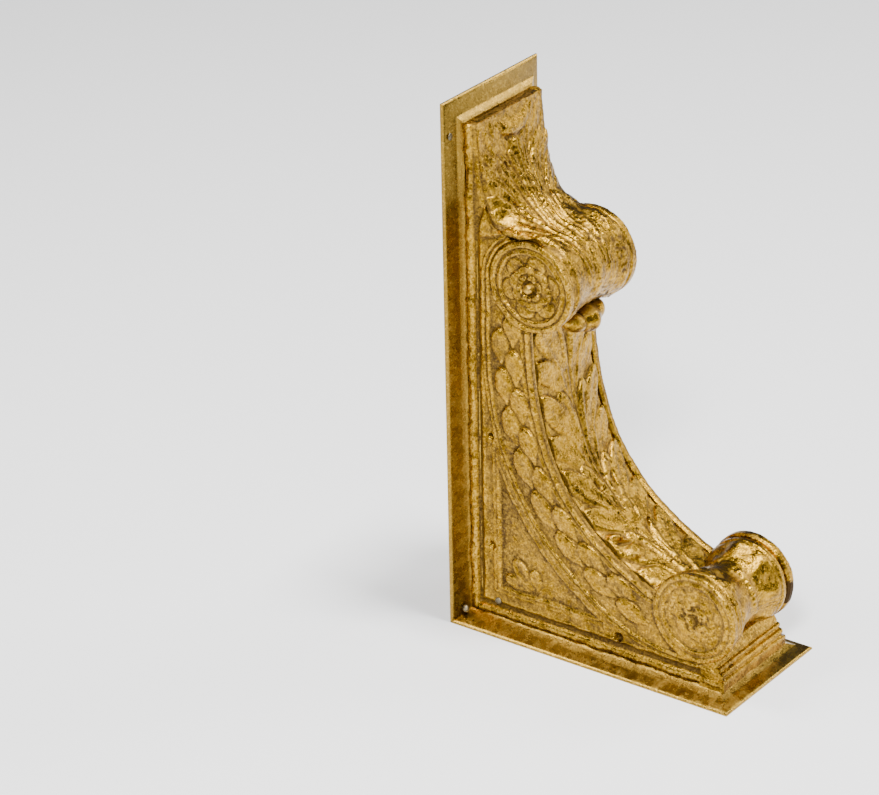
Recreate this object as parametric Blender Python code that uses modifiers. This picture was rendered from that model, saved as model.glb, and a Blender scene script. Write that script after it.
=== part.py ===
"""Scrolled cast iron corbel: wall plate, base plate, and an acanthus scroll with two volute spools.

One casting. X runs across the width, Y towards the wall, Z up. The origin is under the middle of the
bounding box: the underside is z = 0, the wall plane is y = +DEPTH / 2 and the toe is y = -DEPTH / 2.
Positions in the side view are given as (d, z): d is the distance out from the wall, z the height.
"""
import math

import bmesh
import bpy
from mathutils import Matrix, Vector

MM = 0.001

# Overall size
WIDTH = 127.0 * MM
HEIGHT = 450.0 * MM
DEPTH = 263.5 * MM

# Coved flange round the wall plate and the base plate
EDGE_THICKNESS = 3.4 * MM
FLANGE_SIDE = 15.4 * MM
FLANGE_TOP = 19.0 * MM
FLANGE_TOE = 16.5 * MM
FLANGE_RISE = 11.8 * MM
COVE_STEPS = 4

# Ridge moulding inside the flange
RIDGE_PROUD = 2.4 * MM
RIDGE_WIDTH = 4.6 * MM
TOE_RIDGE_HEIGHT = 9.0 * MM
TOE_FILLET_HEIGHT = 3.0 * MM
TOE_FILLET_SETBACK = 2.2 * MM

# Scroll body, across its width
BODY_HALF = 45.0 * MM
CHEEK_WIDTH = 6.4 * MM
GROOVE_WIDTH = 4.6 * MM
GROOVE_DEPTH = 5.0 * MM
LEAF_GROUND_DROP = 1.6 * MM
TOP_CORNER_OUT = 19.5 * MM

# Upper volute spool
UPPER_OUT = 69.5 * MM
UPPER_BELOW_TOP = 142.6 * MM
UPPER_RADIUS = 37.6 * MM
UPPER_WAIST = 32.0 * MM

# Lower volute spool
LOWER_FROM_TOE = 42.8 * MM
LOWER_UP = 65.9 * MM
LOWER_RADIUS = 38.6 * MM
LOWER_WAIST = 30.5 * MM

# Spool details
DISC_PROUD = 1.2 * MM
SPOOL_SHOULDER = 2.0 * MM
SPOOL_SLOT_DEPTH = 5.5 * MM
DISC_RIM = 6.5 * MM
DISC_SINK = 1.6 * MM
SPOOL_SIDES = 24

# Rosette on each disc
PETALS = 6
PETAL_CIRCLE = 14.0 * MM
PETAL_LENGTH = 8.4 * MM
PETAL_WIDTH = 7.2 * MM
ROSETTE_RISE = 2.4 * MM
BOSS_RADIUS = 5.6 * MM

# Concave front rim between the volutes
RIM_TOP_OUT = 67.8 * MM
RIM_TOP_DROP = 22.4 * MM
RIM_FALL = 122.0 * MM
RIM_BEND_RUN = 97.6 * MM
RIM_BEND_RISE = 38.0 * MM
RIM_OVERLAP = 7.1 * MM
RIM_END_RISE = 3.1 * MM
RIM_STEPS = 14

# Ogee of the top panel, from the top corner to the roll
OGEE_FALL = 46.0 * MM
OGEE_RUN = 31.0 * MM
OGEE_STEPS = 7
ROLL_JOIN_DEGREES = 80.0
ROLL_END_DEGREES = -60.0
PANEL_EDGE_OUT = 21.0 * MM

# Acanthus tiers on the front strip
TIER_PITCH = 63.5 * MM
FIRST_TIER = 10.5 * MM
TIERS = 4
LOBE_RISE = 4.6 * MM
STEM_HALF = 3.6 * MM
STEM_RISE = 3.4 * MM

# Curled tips
LIP_HALF = 21.0 * MM
LIP_RISE = 9.0 * MM
CURL_HALF = 25.0 * MM
CURL_FORWARD = 14.5 * MM
CURL_DROP = 37.9 * MM
CURL_REACH = 13.5 * MM
CURL_THICK = 9.5 * MM

# Flank: husk band, inner ridge and spandrel
BAND_WIDTH = 39.3 * MM
BAND_RIDGE_HALF = 2.0 * MM
BAND_RIDGE_RISE = 1.7 * MM
RIDGE_STEPS = 16
BAND_TOP_RISE = 22.6 * MM
BAND_TURN_DROP = 62.4 * MM
BAND_FALL = 111.0 * MM
BAND_BEND_RUN = 62.0 * MM
BAND_BEND_RISE = 31.0 * MM
BAND_FOOT_RUN = 70.7 * MM
BAND_FOOT_RISE = 12.7 * MM
BAND_END_RUN = 24.0 * MM
HUSK_PITCH = 24.0 * MM
HUSK_LENGTH = 29.0 * MM
HUSK_HALF = 7.6 * MM
HUSK_RISE = 2.6 * MM
HUSK_COLUMNS = (16.5 * MM, 28.0 * MM)
SPANDREL_DEPTH = 1.6 * MM
SPANDREL_INSET = 13.0 * MM

# Humped block under the lower spool
HUMP_RISE = 17.5 * MM
HUMP_HALF = 33.0 * MM

# Fixing holes in the flank: (out from the wall, up, radius)
FLANK_HOLES = ((30.0 * MM, 169.0 * MM, 2.5 * MM), (30.0 * MM, 72.0 * MM, 2.8 * MM),
               (151.0 * MM, 25.5 * MM, 3.6 * MM))
HOLE_DEPTH = 9.0 * MM

# How far each carved piece is let into what carries it, and the small step between neighbouring faces
SINK = 3.0 * MM
FACE_STEP = 0.4 * MM

# Edges shorter than this close up, and faces closer to one plane than this are one face
SHORT_EDGE = 0.04 * MM
FLAT_DEGREES = 1.0

# Worked out from the sizes above
HALF_WIDTH = WIDTH / 2
HALF_DEPTH = DEPTH / 2
UPPER_UP = HEIGHT - UPPER_BELOW_TOP
LOWER_OUT = DEPTH - LOWER_FROM_TOE
PANEL_TOP = HEIGHT - FLANGE_TOP
TOE = DEPTH - FLANGE_TOE
CHEEK_INSIDE = BODY_HALF - CHEEK_WIDTH
STRIP_HALF = CHEEK_INSIDE - GROOVE_WIDTH
GROUND = FLANGE_RISE + TOE_RIDGE_HEIGHT


def world(x, d, z):
    """Point at x across, d out from the wall and z up."""
    return Vector((x, HALF_DEPTH - d, z))


def bezier(corners, steps):
    """Points of a cubic curve in the side view."""
    points = []
    for step in range(steps + 1):
        t = step / steps
        weights = ((1 - t) ** 3, 3 * t * (1 - t) ** 2, 3 * t * t * (1 - t), t ** 3)
        points.append(sum((w * Vector(c) for w, c in zip(weights, corners)), Vector((0.0, 0.0))))
    return points


def arc(centre, radius, start, end, steps):
    """Points of a circle in the side view, angles in degrees from straight out."""
    points = []
    for step in range(steps + 1):
        angle = math.radians(start + (end - start) * step / steps)
        points.append(Vector(centre) + radius * Vector((math.cos(angle), math.sin(angle))))
    return points


class Path:
    """A curve in the side view, read by its length, with its outward normal."""

    def __init__(self, points, turn):
        self.points = points
        self.turn = turn
        self.marks = [0.0]
        for a, b in zip(points, points[1:]):
            self.marks.append(self.marks[-1] + (b - a).length)
        self.length = self.marks[-1]

    def at(self, s):
        """Point and outward normal at length s."""
        last = len(self.points) - 2
        index = 0
        while index < last and self.marks[index + 1] < s:
            index += 1
        a = self.points[index]
        b = self.points[index + 1]
        share = (s - self.marks[index]) / (self.marks[index + 1] - self.marks[index])
        before = self.points[max(index - 1, 0)]
        after = self.points[min(index + 2, last + 1)]
        run = (b - before).normalized().lerp((after - a).normalized(), min(max(share, 0.0), 1.0))
        run.normalize()
        return a.lerp(b, share), self.turn * Vector((-run.y, run.x))


def make_paths():
    """The three side-view curves that the carving follows."""
    upper = (UPPER_OUT, UPPER_UP)
    roll = arc(upper, UPPER_WAIST, ROLL_JOIN_DEGREES, ROLL_END_DEGREES, 10)
    corner = (TOP_CORNER_OUT, PANEL_TOP)
    ogee = bezier((corner, (TOP_CORNER_OUT, PANEL_TOP - OGEE_FALL),
                   (roll[0].x - OGEE_RUN, roll[0].y + 0.18 * OGEE_RUN), roll[0]), OGEE_STEPS)
    top = Vector((RIM_TOP_OUT, UPPER_UP - RIM_TOP_DROP))
    end = Vector((LOWER_OUT - LOWER_WAIST + RIM_OVERLAP, LOWER_UP + RIM_END_RISE))
    fall = top - Vector((0.0, RIM_FALL))
    rim = bezier((top, fall, end + Vector((-RIM_BEND_RUN, RIM_BEND_RISE)), end), RIM_STEPS)
    head = Vector((RIM_TOP_OUT - BAND_WIDTH, UPPER_UP + BAND_TOP_RISE))
    turn = Vector((head.x, UPPER_UP - BAND_TURN_DROP))
    under = Vector((LOWER_OUT, LOWER_UP - LOWER_RADIUS - BAND_RIDGE_HALF / 2))
    foot = under + Vector((-BAND_FOOT_RUN, BAND_FOOT_RISE))
    slope = Vector((-BAND_BEND_RUN, BAND_BEND_RISE))
    ridge = [head] + bezier((turn, turn - Vector((0.0, BAND_FALL)), foot + slope, foot), 12)
    ridge += bezier((foot, foot - slope * 0.35, under - Vector((BAND_END_RUN, 0.0)), under), 4)[1:]
    return Path(ogee + roll[1:], 1.0), Path(rim, 1.0), Path(ridge, 1.0)


UPPER_PATH, RIM_PATH, RIDGE_PATH = make_paths()


def setback(x, s):
    """How far the top panel falls away from its middle line towards its edges."""
    out = UPPER_PATH.at(s)[0]
    swell = max(out.x - PANEL_EDGE_OUT, 0.0)
    fade = min(max((out.y - UPPER_UP - UPPER_RADIUS * 0.85) / (20.0 * MM), 0.0), 1.0)
    flare = (UPPER_RADIUS - UPPER_WAIST) * (abs(x) / STRIP_HALF) ** 2
    return 0.62 * swell * (abs(x) / BODY_HALF) ** 2.4 * fade - flare * (1.0 - fade)


def on_panel(x, s, h):
    """Place h above the top panel and roll."""
    point, normal = UPPER_PATH.at(s)
    point = point + normal * (h - setback(x, s))
    return world(x, point.x, point.y)


def on_strip(x, s, h):
    """Place h above the ground of the front strip between the volutes."""
    point, normal = RIM_PATH.at(s)
    point = point + normal * (h - LEAF_GROUND_DROP)
    return world(x, point.x, point.y)


def on_flank(side):
    """Placing function for one flank, side -1 or +1, read as (d, z, h)."""
    return lambda d, z, h: world(side * (BODY_HALF + h), d, z)


def new_object(name, mesh, collection, matrix=None):
    """Link a mesh into a collection."""
    item = bpy.data.objects.new(name, mesh)
    collection.objects.link(item)
    if matrix is not None:
        item.matrix_world = matrix
    return item


def mesh_from(bm, name):
    """Close a bmesh off into a mesh with outward faces."""
    bmesh.ops.recalc_face_normals(bm, faces=bm.faces)
    if bm.calc_volume(signed=True) < 0.0:
        bmesh.ops.reverse_faces(bm, faces=bm.faces)
    mesh = bpy.data.meshes.new(name)
    bm.to_mesh(mesh)
    bm.free()
    return mesh


def patch(name, columns, rows, place, collection):
    """A grid shaped by place(u, v), which gives the outer and the sunk point of each vertex."""
    bm = bmesh.new()
    bmesh.ops.create_grid(bm, x_segments=columns, y_segments=rows, size=1.0)
    top = list(bm.verts)
    shares = [((v.co.x + 1) / 2, (v.co.y + 1) / 2) for v in top]
    grown = bmesh.ops.extrude_face_region(bm, geom=list(bm.faces), use_keep_orig=True)
    bottom = [item for item in grown["geom"] if isinstance(item, bmesh.types.BMVert)]
    partner = {}
    for vert in bottom:
        key = (round(vert.co.x, 5), round(vert.co.y, 5))
        partner[key] = vert
    for vert, (u, v) in zip(top, shares):
        low = partner[(round(vert.co.x, 5), round(vert.co.y, 5))]
        vert.co, low.co = place(u, v)
    return new_object(name, mesh_from(bm, name), collection)


def loft(name, rings, collection):
    """A closed body through rings of equal count."""
    bm = bmesh.new()
    loops = [[bm.verts.new(point) for point in ring] for ring in rings]
    for low, high in zip(loops, loops[1:]):
        for index in range(len(low)):
            after = (index + 1) % len(low)
            bm.faces.new((low[index], low[after], high[after], high[index]))
    bm.faces.new(loops[0])
    bm.faces.new(loops[-1])
    return new_object(name, mesh_from(bm, name), collection)


def slab(name, outline, middle, half, collection):
    """A flat outline in the side view, given thickness across X."""
    curve = bpy.data.curves.new(name + "_outline", "CURVE")
    curve.dimensions = "2D"
    curve.fill_mode = "BOTH"
    curve.extrude = half
    spline = curve.splines.new("POLY")
    spline.points.add(len(outline) - 1)
    for point, (d, z) in zip(spline.points, outline):
        point.co = (d, z, 0.0, 1.0)
    spline.use_cyclic_u = True
    holder = bpy.data.objects.new(name + "_outline", curve)
    collection.objects.link(holder)
    bpy.context.view_layer.update()
    evaluated = holder.evaluated_get(bpy.context.evaluated_depsgraph_get())
    mesh = bpy.data.meshes.new_from_object(evaluated)
    bpy.data.objects.remove(holder)
    bm = bmesh.new()
    bm.from_mesh(mesh)
    bmesh.ops.remove_doubles(bm, verts=bm.verts, dist=0.01 * MM)
    turn = Matrix(((0, 0, -1, middle), (-1, 0, 0, HALF_DEPTH), (0, 1, 0, 0), (0, 0, 0, 1)))
    bm.transform(turn)
    return new_object(name, mesh_from(bm, name), collection)


def turned(name, profile, out, up, collection):
    """A profile of (radius, x) turned about an axis across the width."""
    mesh = bpy.data.meshes.new(name + "_profile")
    mesh.from_pydata([(radius, 0.0, x) for radius, x in profile],
                     [(i, i + 1) for i in range(len(profile) - 1)], [])
    item = new_object(name, mesh, collection)
    screw = item.modifiers.new("turn", "SCREW")
    screw.axis = "Z"
    screw.angle = math.tau
    screw.steps = SPOOL_SIDES
    screw.render_steps = SPOOL_SIDES
    screw.use_merge_vertices = True
    screw.merge_threshold = 0.01 * MM
    bpy.context.view_layer.update()
    solid = bpy.data.meshes.new_from_object(item.evaluated_get(bpy.context.evaluated_depsgraph_get()))
    item.modifiers.clear()
    bm = bmesh.new()
    bm.from_mesh(solid)
    bmesh.ops.remove_doubles(bm, verts=bm.verts, dist=0.01 * MM)
    bm.transform(Matrix.Translation(world(0.0, out, up)) @ Matrix.Rotation(math.pi / 2, 4, "Y"))
    item.data = mesh_from(bm, name)
    return item


def ball(name, centre, radii, collection, columns=8, rings=6):
    """A squashed ball."""
    bm = bmesh.new()
    bmesh.ops.create_uvsphere(bm, u_segments=columns, v_segments=rings, radius=1.0)
    bm.transform(Matrix.Translation(centre) @ Matrix.Diagonal((*radii, 1.0)))
    return new_object(name, mesh_from(bm, name), collection)


LOBE = ((0.42, 0.25), (0.8, 0.6), (1.0, 0.9), (0.78, 1.0), (0.16, 0.6))
HUSK = ((0.7, 0.4), (1.0, 1.0), (0.14, 0.55))
PETAL = ((0.45, 0.5), (1.0, 1.0), (0.45, 0.6))


def blade(name, place, base, tip, half, rise, collection, bend=0.0, form=LOBE):
    """A leaf lobe from base to tip on a carrying surface; form lists its widths and heights on the way."""
    base = Vector(base)
    run = Vector(tip) - base
    side = Vector((-run.y, run.x)).normalized()
    rows = len(form) - 1

    def shape(u, v):
        row = round(v * rows)
        across = (2 * u - 1) * form[row][0] * half
        spot = base + run * v + side * (across + bend * v * v)
        crown = 1.0 - 0.5 * (2 * u - 1) ** 2
        return place(spot.x, spot.y, rise * form[row][1] * crown), place(spot.x, spot.y, -SINK)

    return patch(name, 2, rows, shape, collection)


def ribbon(name, path, steps, half, rise, place, collection):
    """A low rounded ridge that follows a path in the side view."""
    def shape(u, v):
        point, normal = path.at(path.length * v)
        spot = point + normal * (2 * u - 1) * half
        low = rise * (0.35 if u in (0.0, 1.0) else 1.0)
        return place(spot.x, spot.y, low), place(spot.x, spot.y, -SINK)

    return patch(name, 2, steps, shape, collection)


def flange(name, rings_of, collection):
    """The coved flange of one plate: a square edge, then a hollow rise to the inner corner."""
    stations = [(0.0, 0.0), (0.0, EDGE_THICKNESS)]
    for step in range(1, COVE_STEPS + 1):
        share = step / COVE_STEPS
        hollow = 1.0 - math.sqrt(max(1.0 - share * share, 0.0))
        rise = EDGE_THICKNESS + (FLANGE_RISE - EDGE_THICKNESS) * (0.45 * share + 0.55 * hollow)
        stations.append((share, rise))
    return loft(name, [rings_of(inset, rise) for inset, rise in stations], collection)


def wall_ring(inset, rise):
    """Rectangle of the wall flange at one height of its cove."""
    x = HALF_WIDTH - FLANGE_SIDE * inset
    top = HEIGHT - FLANGE_TOP * inset
    return [world(x, rise, 0.0), world(x, rise, top), world(-x, rise, top), world(-x, rise, 0.0)]


def base_ring(inset, rise):
    """Rectangle of the base flange at one height of its cove."""
    x = HALF_WIDTH - FLANGE_SIDE * inset
    toe = DEPTH - FLANGE_TOE * inset
    return [world(x, 0.0, rise), world(x, toe, rise), world(-x, toe, rise), world(-x, 0.0, rise)]


def box(name, half, out_low, out_high, low, high, collection):
    """A square block, centred across the width."""
    ring = [(-half, out_low), (half, out_low), (half, out_high), (-half, out_high)]
    rings = [[world(x, d, z) for x, d in ring] for z in (low, high)]
    return loft(name, rings, collection)


def add_frame(collection):
    """Both flanges and the ridge moulding inside them."""
    flange("wall_flange", wall_ring, collection)
    flange("base_flange", base_ring, collection)
    ridge_half = BODY_HALF + RIDGE_PROUD
    inside = FLANGE_RISE / 2
    box("wall_ridge", ridge_half, inside, FLANGE_RISE + RIDGE_WIDTH, inside, PANEL_TOP, collection)
    out = TOE + TOE_FILLET_SETBACK
    box("toe_ridge", ridge_half, inside, out, inside, GROUND - TOE_FILLET_HEIGHT, collection)
    box("toe_fillet", ridge_half - TOE_FILLET_SETBACK / 2, inside, TOE, inside, GROUND, collection)


def body_outline(rim_drop):
    """Side view of the scroll body, with its rim set back by rim_drop."""
    back = FLANGE_RISE / 2 - 0.2 * rim_drop
    edge = TOP_CORNER_OUT - 0.4 * rim_drop
    top = PANEL_TOP - 0.1 * rim_drop
    points = [Vector((back, back)), Vector((back, top)), Vector((edge, top))]
    points += [Vector((edge + 1.0 * MM, UPPER_UP + 2.2 * UPPER_RADIUS)),
               Vector((UPPER_OUT - 0.85 * UPPER_RADIUS - rim_drop, UPPER_UP + UPPER_RADIUS))]
    points += [Vector((UPPER_OUT, UPPER_UP))]
    for step in range(RIM_STEPS + 1):
        point, normal = RIM_PATH.at(RIM_PATH.length * step / RIM_STEPS)
        points.append(point - normal * rim_drop)
    toe = TOE - HUMP_RISE / 2 - 0.3 * rim_drop
    points += [Vector((LOWER_OUT, LOWER_UP)), Vector((toe, GROUND)), Vector((toe, back))]
    return points


def add_body(collection):
    """Core, cheeks, top panel and the ground of the leaf strip."""
    slab("core", body_outline(GROOVE_DEPTH), 0.0, CHEEK_INSIDE + CHEEK_WIDTH / 2, collection)
    for side in (-1, 1):
        middle = side * (BODY_HALF - CHEEK_WIDTH / 2)
        slab(f"cheek_{side}", body_outline(0.0), middle, CHEEK_WIDTH / 2, collection)

    def panel(u, v):
        x = (2 * u - 1) * BODY_HALF
        s = UPPER_PATH.length * 0.62 * v
        reach = min(max((UPPER_UP + UPPER_RADIUS - UPPER_PATH.at(s)[0].y) / (6.0 * MM), 0.0), 1.0)
        x *= 1.0 - reach * (1.0 - (STRIP_HALF - FACE_STEP) / BODY_HALF)
        outer = on_panel(x, s, 0.0)
        return outer, world(x, TOP_CORNER_OUT / 2, max(outer.z - 6.0 * MM * v, UPPER_UP * 0.98))

    patch("top_panel", 6, 9, panel, collection)

    def strip(u, v):
        x = (2 * u - 1) * (STRIP_HALF - FACE_STEP)
        s = RIM_PATH.length * v
        return on_strip(x, s, 0.0), on_strip(x, s, -GROOVE_DEPTH - SINK)

    patch("leaf_ground", 1, RIM_STEPS, strip, collection)


def spool_profile(radius, waist):
    """Profile of (radius, x) of one spool: disc, slot, waisted barrel, slot, disc."""
    face = BODY_HALF + DISC_PROUD
    slot = waist - SPOOL_SLOT_DEPTH
    shoulder = radius - SPOOL_SHOULDER
    half = [(0.0, face - DISC_SINK), (radius - DISC_RIM - 1.2 * MM, face - DISC_SINK),
            (radius - DISC_RIM, face), (radius, face - 0.5 * MM),
            (radius, CHEEK_INSIDE - FACE_STEP), (slot, CHEEK_INSIDE - FACE_STEP), (slot, STRIP_HALF)]
    barrel = []
    for step in range(5):
        x = STRIP_HALF * (1 - step / 2)
        barrel.append((waist + (shoulder - waist) * (abs(x) / STRIP_HALF) ** 2.2, x))
    return half + barrel + [(r, -x) for r, x in reversed(half)]


def add_rosette(name, side, out, up, radius, collection):
    """Petals round a boss on one disc."""
    place = on_flank(side)
    floor = DISC_PROUD - DISC_SINK
    for index in range(PETALS):
        angle = math.tau * (index + 0.5) / PETALS
        aim = Vector((math.cos(angle), math.sin(angle)))
        centre = Vector((out, up))
        base = centre + aim * (PETAL_CIRCLE - PETAL_LENGTH)
        tip = centre + aim * (PETAL_CIRCLE + PETAL_LENGTH)
        blade(f"{name}_petal_{index}", lambda d, z, h: place(d, z, h + floor), base, tip, PETAL_WIDTH,
              ROSETTE_RISE, collection, 0.0, PETAL)
    radii = (ROSETTE_RISE + 1.2 * MM, BOSS_RADIUS, BOSS_RADIUS)
    ball(f"{name}_boss", place(out, up, floor), radii, collection)


def add_spools(collection):
    """The two volute spools and their rosettes."""
    for name, out, up, radius, waist in (("upper", UPPER_OUT, UPPER_UP, UPPER_RADIUS, UPPER_WAIST),
                                         ("lower", LOWER_OUT, LOWER_UP, LOWER_RADIUS, LOWER_WAIST)):
        turned(f"{name}_spool", spool_profile(radius, waist), out, up, collection)
        for side in (-1, 1):
            add_rosette(f"{name}_rosette_{side}", side, out, up, radius, collection)


def add_strip_leaf(collection):
    """Tiers of lobed acanthus on the front strip, with its stem."""
    reach = STRIP_HALF
    lobes = (((0.14, 40.0), (0.38, 2.0), 7.6, 0.0), ((0.2, 42.0), (0.84, -1.0), 9.4, 2.0),
             ((0.25, 52.0), (0.93, 22.0), 8.6, 1.5), ((0.25, 60.0), (0.93, 42.0), 7.2, 1.0))
    for tier in range(TIERS):
        start = FIRST_TIER + TIER_PITCH * tier
        for side in (-1, 1):
            for index, (base, tip, half, bend) in enumerate(lobes):
                low = min(start + base[1] * MM, RIM_PATH.length - 12.0 * MM)
                high = start + tip[1] * MM
                if high < 8.0 * MM or high > low - 16.0 * MM:
                    continue
                blade(f"leaf_{tier}_{side}_{index}", on_strip, (side * base[0] * reach, low),
                      (side * tip[0] * reach, high), half * MM, LOBE_RISE, collection, side * bend * MM)

    def stem(u, v):
        x = (2 * u - 1) * STEM_HALF
        s = RIM_PATH.length * (0.03 + 0.95 * v)
        return on_strip(x, s, STEM_RISE * (1.0 if u == 0.5 else 0.75)), on_strip(x, s, -GROOVE_DEPTH / 2)

    patch("strip_stem", 2, RIM_STEPS, stem, collection)
    centre = world(0.0, UPPER_OUT + CURL_FORWARD, UPPER_UP - CURL_DROP)
    ball("curled_tip", centre, (CURL_HALF, CURL_REACH, CURL_THICK), collection, 14, 8)


def add_panel_leaf(collection):
    """The upper acanthus: toothed top lobes, side lobes, wings over the discs, stem and rolled lip."""
    lobes = (((16.0, 26.0), (19.0, 5.0), 4.6, 4.0), ((24.0, 27.0), (30.0, 5.5), 5.0, 4.0),
             ((14.0, 59.0), (29.0, 31.0), 6.5, 4.4), ((18.5, 70.0), (40.0, 29.0), 7.0, 4.7),
             ((12.0, 84.0), (36.0, 53.0), 7.0, 5.4), ((12.0, 98.0), (41.0, 67.0), 8.5, 6.4),
             ((8.0, 118.0), (42.0, 88.0), 10.5, 7.2), ((6.0, 60.0), (10.0, 34.0), 4.5, 3.0))
    for side in (-1, 1):
        for index, (base, tip, half, rise) in enumerate(lobes):
            blade(f"panel_lobe_{side}_{index}", on_panel, (side * base[0] * MM, base[1] * MM),
                  (side * tip[0] * MM, tip[1] * MM), half * MM, rise * MM, collection)

    def stem(u, v):
        x = (2 * u - 1) * STEM_HALF
        s = UPPER_PATH.length * (0.2 + 0.72 * v)
        return on_panel(x, s, STEM_RISE * (1.0 if u == 0.5 else 0.75)), on_panel(x, s, -SINK)

    patch("panel_stem", 2, 14, stem, collection)

    def lip(u, v):
        x = (2 * v - 1) * LIP_HALF
        taper = math.sqrt(max(1.0 - (2 * v - 1) ** 2, 0.0)) * 0.92 + 0.08
        s = (5.0 * MM) + taper * 17.0 * MM * u
        h = LIP_RISE * taper * math.sin(math.pi * (0.12 + 0.8 * u))
        return on_panel(x, s, h), on_panel(x, s, -SINK)

    patch("rolled_lip", 4, 8, lip, collection)


def add_flank_carving(collection):
    """Ridges of the husk band, and the husks, on both flanks."""
    for side in (-1, 1):
        place = on_flank(side)
        ribbon(f"band_ridge_{side}", RIDGE_PATH, RIDGE_STEPS, BAND_RIDGE_HALF, BAND_RIDGE_RISE, place,
               collection)
        for column, inset in enumerate(HUSK_COLUMNS):
            count = int((RIM_PATH.length - HUSK_LENGTH * 0.6) / HUSK_PITCH)
            for index in range(count):
                s = HUSK_PITCH * (index + 0.5 * column) + HUSK_PITCH * 0.2
                start, first = RIM_PATH.at(s)
                end, last = RIM_PATH.at(min(s + HUSK_LENGTH, RIM_PATH.length))
                blade(f"husk_{side}_{column}_{index}", place, start - first * inset, end - last * inset,
                      HUSK_HALF, HUSK_RISE, collection, 0.0, HUSK)


def add_foot(collection):
    """Humped block, beads and rings under and over the lower spool."""
    humps = []
    for step in range(17):
        x = HUMP_HALF * (1 - step / 8)
        humps.append((x, GROUND + HUMP_RISE * abs(math.sin(math.pi * x / HUMP_HALF)) ** 0.7))
    front = TOE - 3.0 * MM
    ring = [(HUMP_HALF, GROUND / 2)] + humps + [(-HUMP_HALF, GROUND / 2)]
    rings = [[world(x, d, z) for x, z in ring] for d in (LOWER_OUT - LOWER_RADIUS, front)]
    loft("humped_block", rings, collection)
    radius = LOWER_WAIST + 0.6 * MM
    for index, size in enumerate((5.4, 4.8, 4.2, 3.6)):
        angle = math.radians(40.0 - 15.5 * index)
        centre = world(0.0, LOWER_OUT + radius * math.cos(angle), LOWER_UP + radius * math.sin(angle))
        ball(f"bead_{index}", centre, (size * MM, size * MM * 0.8, size * MM * 0.8), collection)


def add_cutters(collection):
    """Recessed spandrels and the fixing holes."""
    cuts = []
    inset = SPANDREL_INSET
    corner = Vector((FLANGE_RISE + RIDGE_WIDTH + 1.5 * inset, GROUND + inset))
    curve = []
    for step in range(9):
        share = 0.48 + 0.27 * step / 8
        point, normal = RIDGE_PATH.at(RIDGE_PATH.length * share)
        point = point - normal * 9.0 * MM
        curve.append(Vector((max(point.x, corner.x), max(point.y, corner.y))))
    for side in (-1, 1):
        middle = side * (BODY_HALF + 5.0 * MM)
        half = 5.0 * MM + SPANDREL_DEPTH
        cuts.append(slab(f"spandrel_{side}", [corner] + curve, middle, half, collection))
    for index, (out, up, radius) in enumerate(FLANK_HOLES):
        bm = bmesh.new()
        bmesh.ops.create_cone(bm, cap_ends=True, segments=10, radius1=radius, radius2=radius,
                              depth=2 * HOLE_DEPTH)
        bm.transform(Matrix.Translation(world(-BODY_HALF, out, up)) @ Matrix.Rotation(math.pi / 2, 4, "Y"))
        cuts.append(new_object(f"hole_{index}", mesh_from(bm, f"hole_{index}"), collection))
    return cuts


def make_material():
    """Bronze-gold paint over cast iron."""
    material = bpy.data.materials.new("gold_painted_cast_iron")
    material.use_nodes = True
    shader = material.node_tree.nodes["Principled BSDF"]
    shader.inputs["Base Color"].default_value = (0.42, 0.26, 0.07, 1.0)
    shader.inputs["Metallic"].default_value = 0.85
    shader.inputs["Roughness"].default_value = 0.42
    return material


def boolean(item, operation, **operand):
    """Add one exact Boolean."""
    modifier = item.modifiers.new(operation.lower(), "BOOLEAN")
    modifier.operation = operation
    modifier.solver = "MANIFOLD"
    for key, value in operand.items():
        setattr(modifier, key, value)


def hide(collection):
    """Show helpers as wire and keep them out of renders."""
    for item in collection.objects:
        item.hide_render = True
        item.display_type = "WIRE"


def main():
    """Build the casting."""
    for item in list(bpy.data.objects):
        bpy.data.objects.remove(item)
    part = bpy.data.collections.new("cast_iron_corbel")
    forms = bpy.data.collections.new("forms")
    cutters = bpy.data.collections.new("cutters")
    for collection in (part, forms, cutters):
        bpy.context.scene.collection.children.link(collection)
    add_frame(forms)
    add_body(forms)
    add_spools(forms)
    add_strip_leaf(forms)
    add_panel_leaf(forms)
    add_flank_carving(forms)
    add_foot(forms)
    add_cutters(cutters)
    first = forms.objects["core"]
    casting = new_object("corbel_casting", first.data.copy(), part)
    bpy.data.objects.remove(first)
    boolean(casting, "UNION", operand_type="COLLECTION", collection=forms)
    boolean(casting, "DIFFERENCE", operand_type="COLLECTION", collection=cutters)
    weld = casting.modifiers.new("short_edges", "WELD")
    weld.merge_threshold = SHORT_EDGE
    tidy = casting.modifiers.new("flat_faces", "DECIMATE")
    tidy.decimate_type = "DISSOLVE"
    tidy.angle_limit = math.radians(FLAT_DEGREES)
    casting.data.materials.append(make_material())
    hide(forms)
    hide(cutters)


main()
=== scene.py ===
"""Scrolled cast iron corbel in gold radiator paint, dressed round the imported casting.

Sizes in the classes are millimetres, and points in the side view are (d, z): d is the distance out from
the wall and z the height. Finished meshes are in metres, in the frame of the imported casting.
"""
import logging
import math
from dataclasses import dataclass, field
from enum import Enum
from typing import Callable, Sequence

import bpy
import numpy as np
from mathutils import Matrix, Vector


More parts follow.
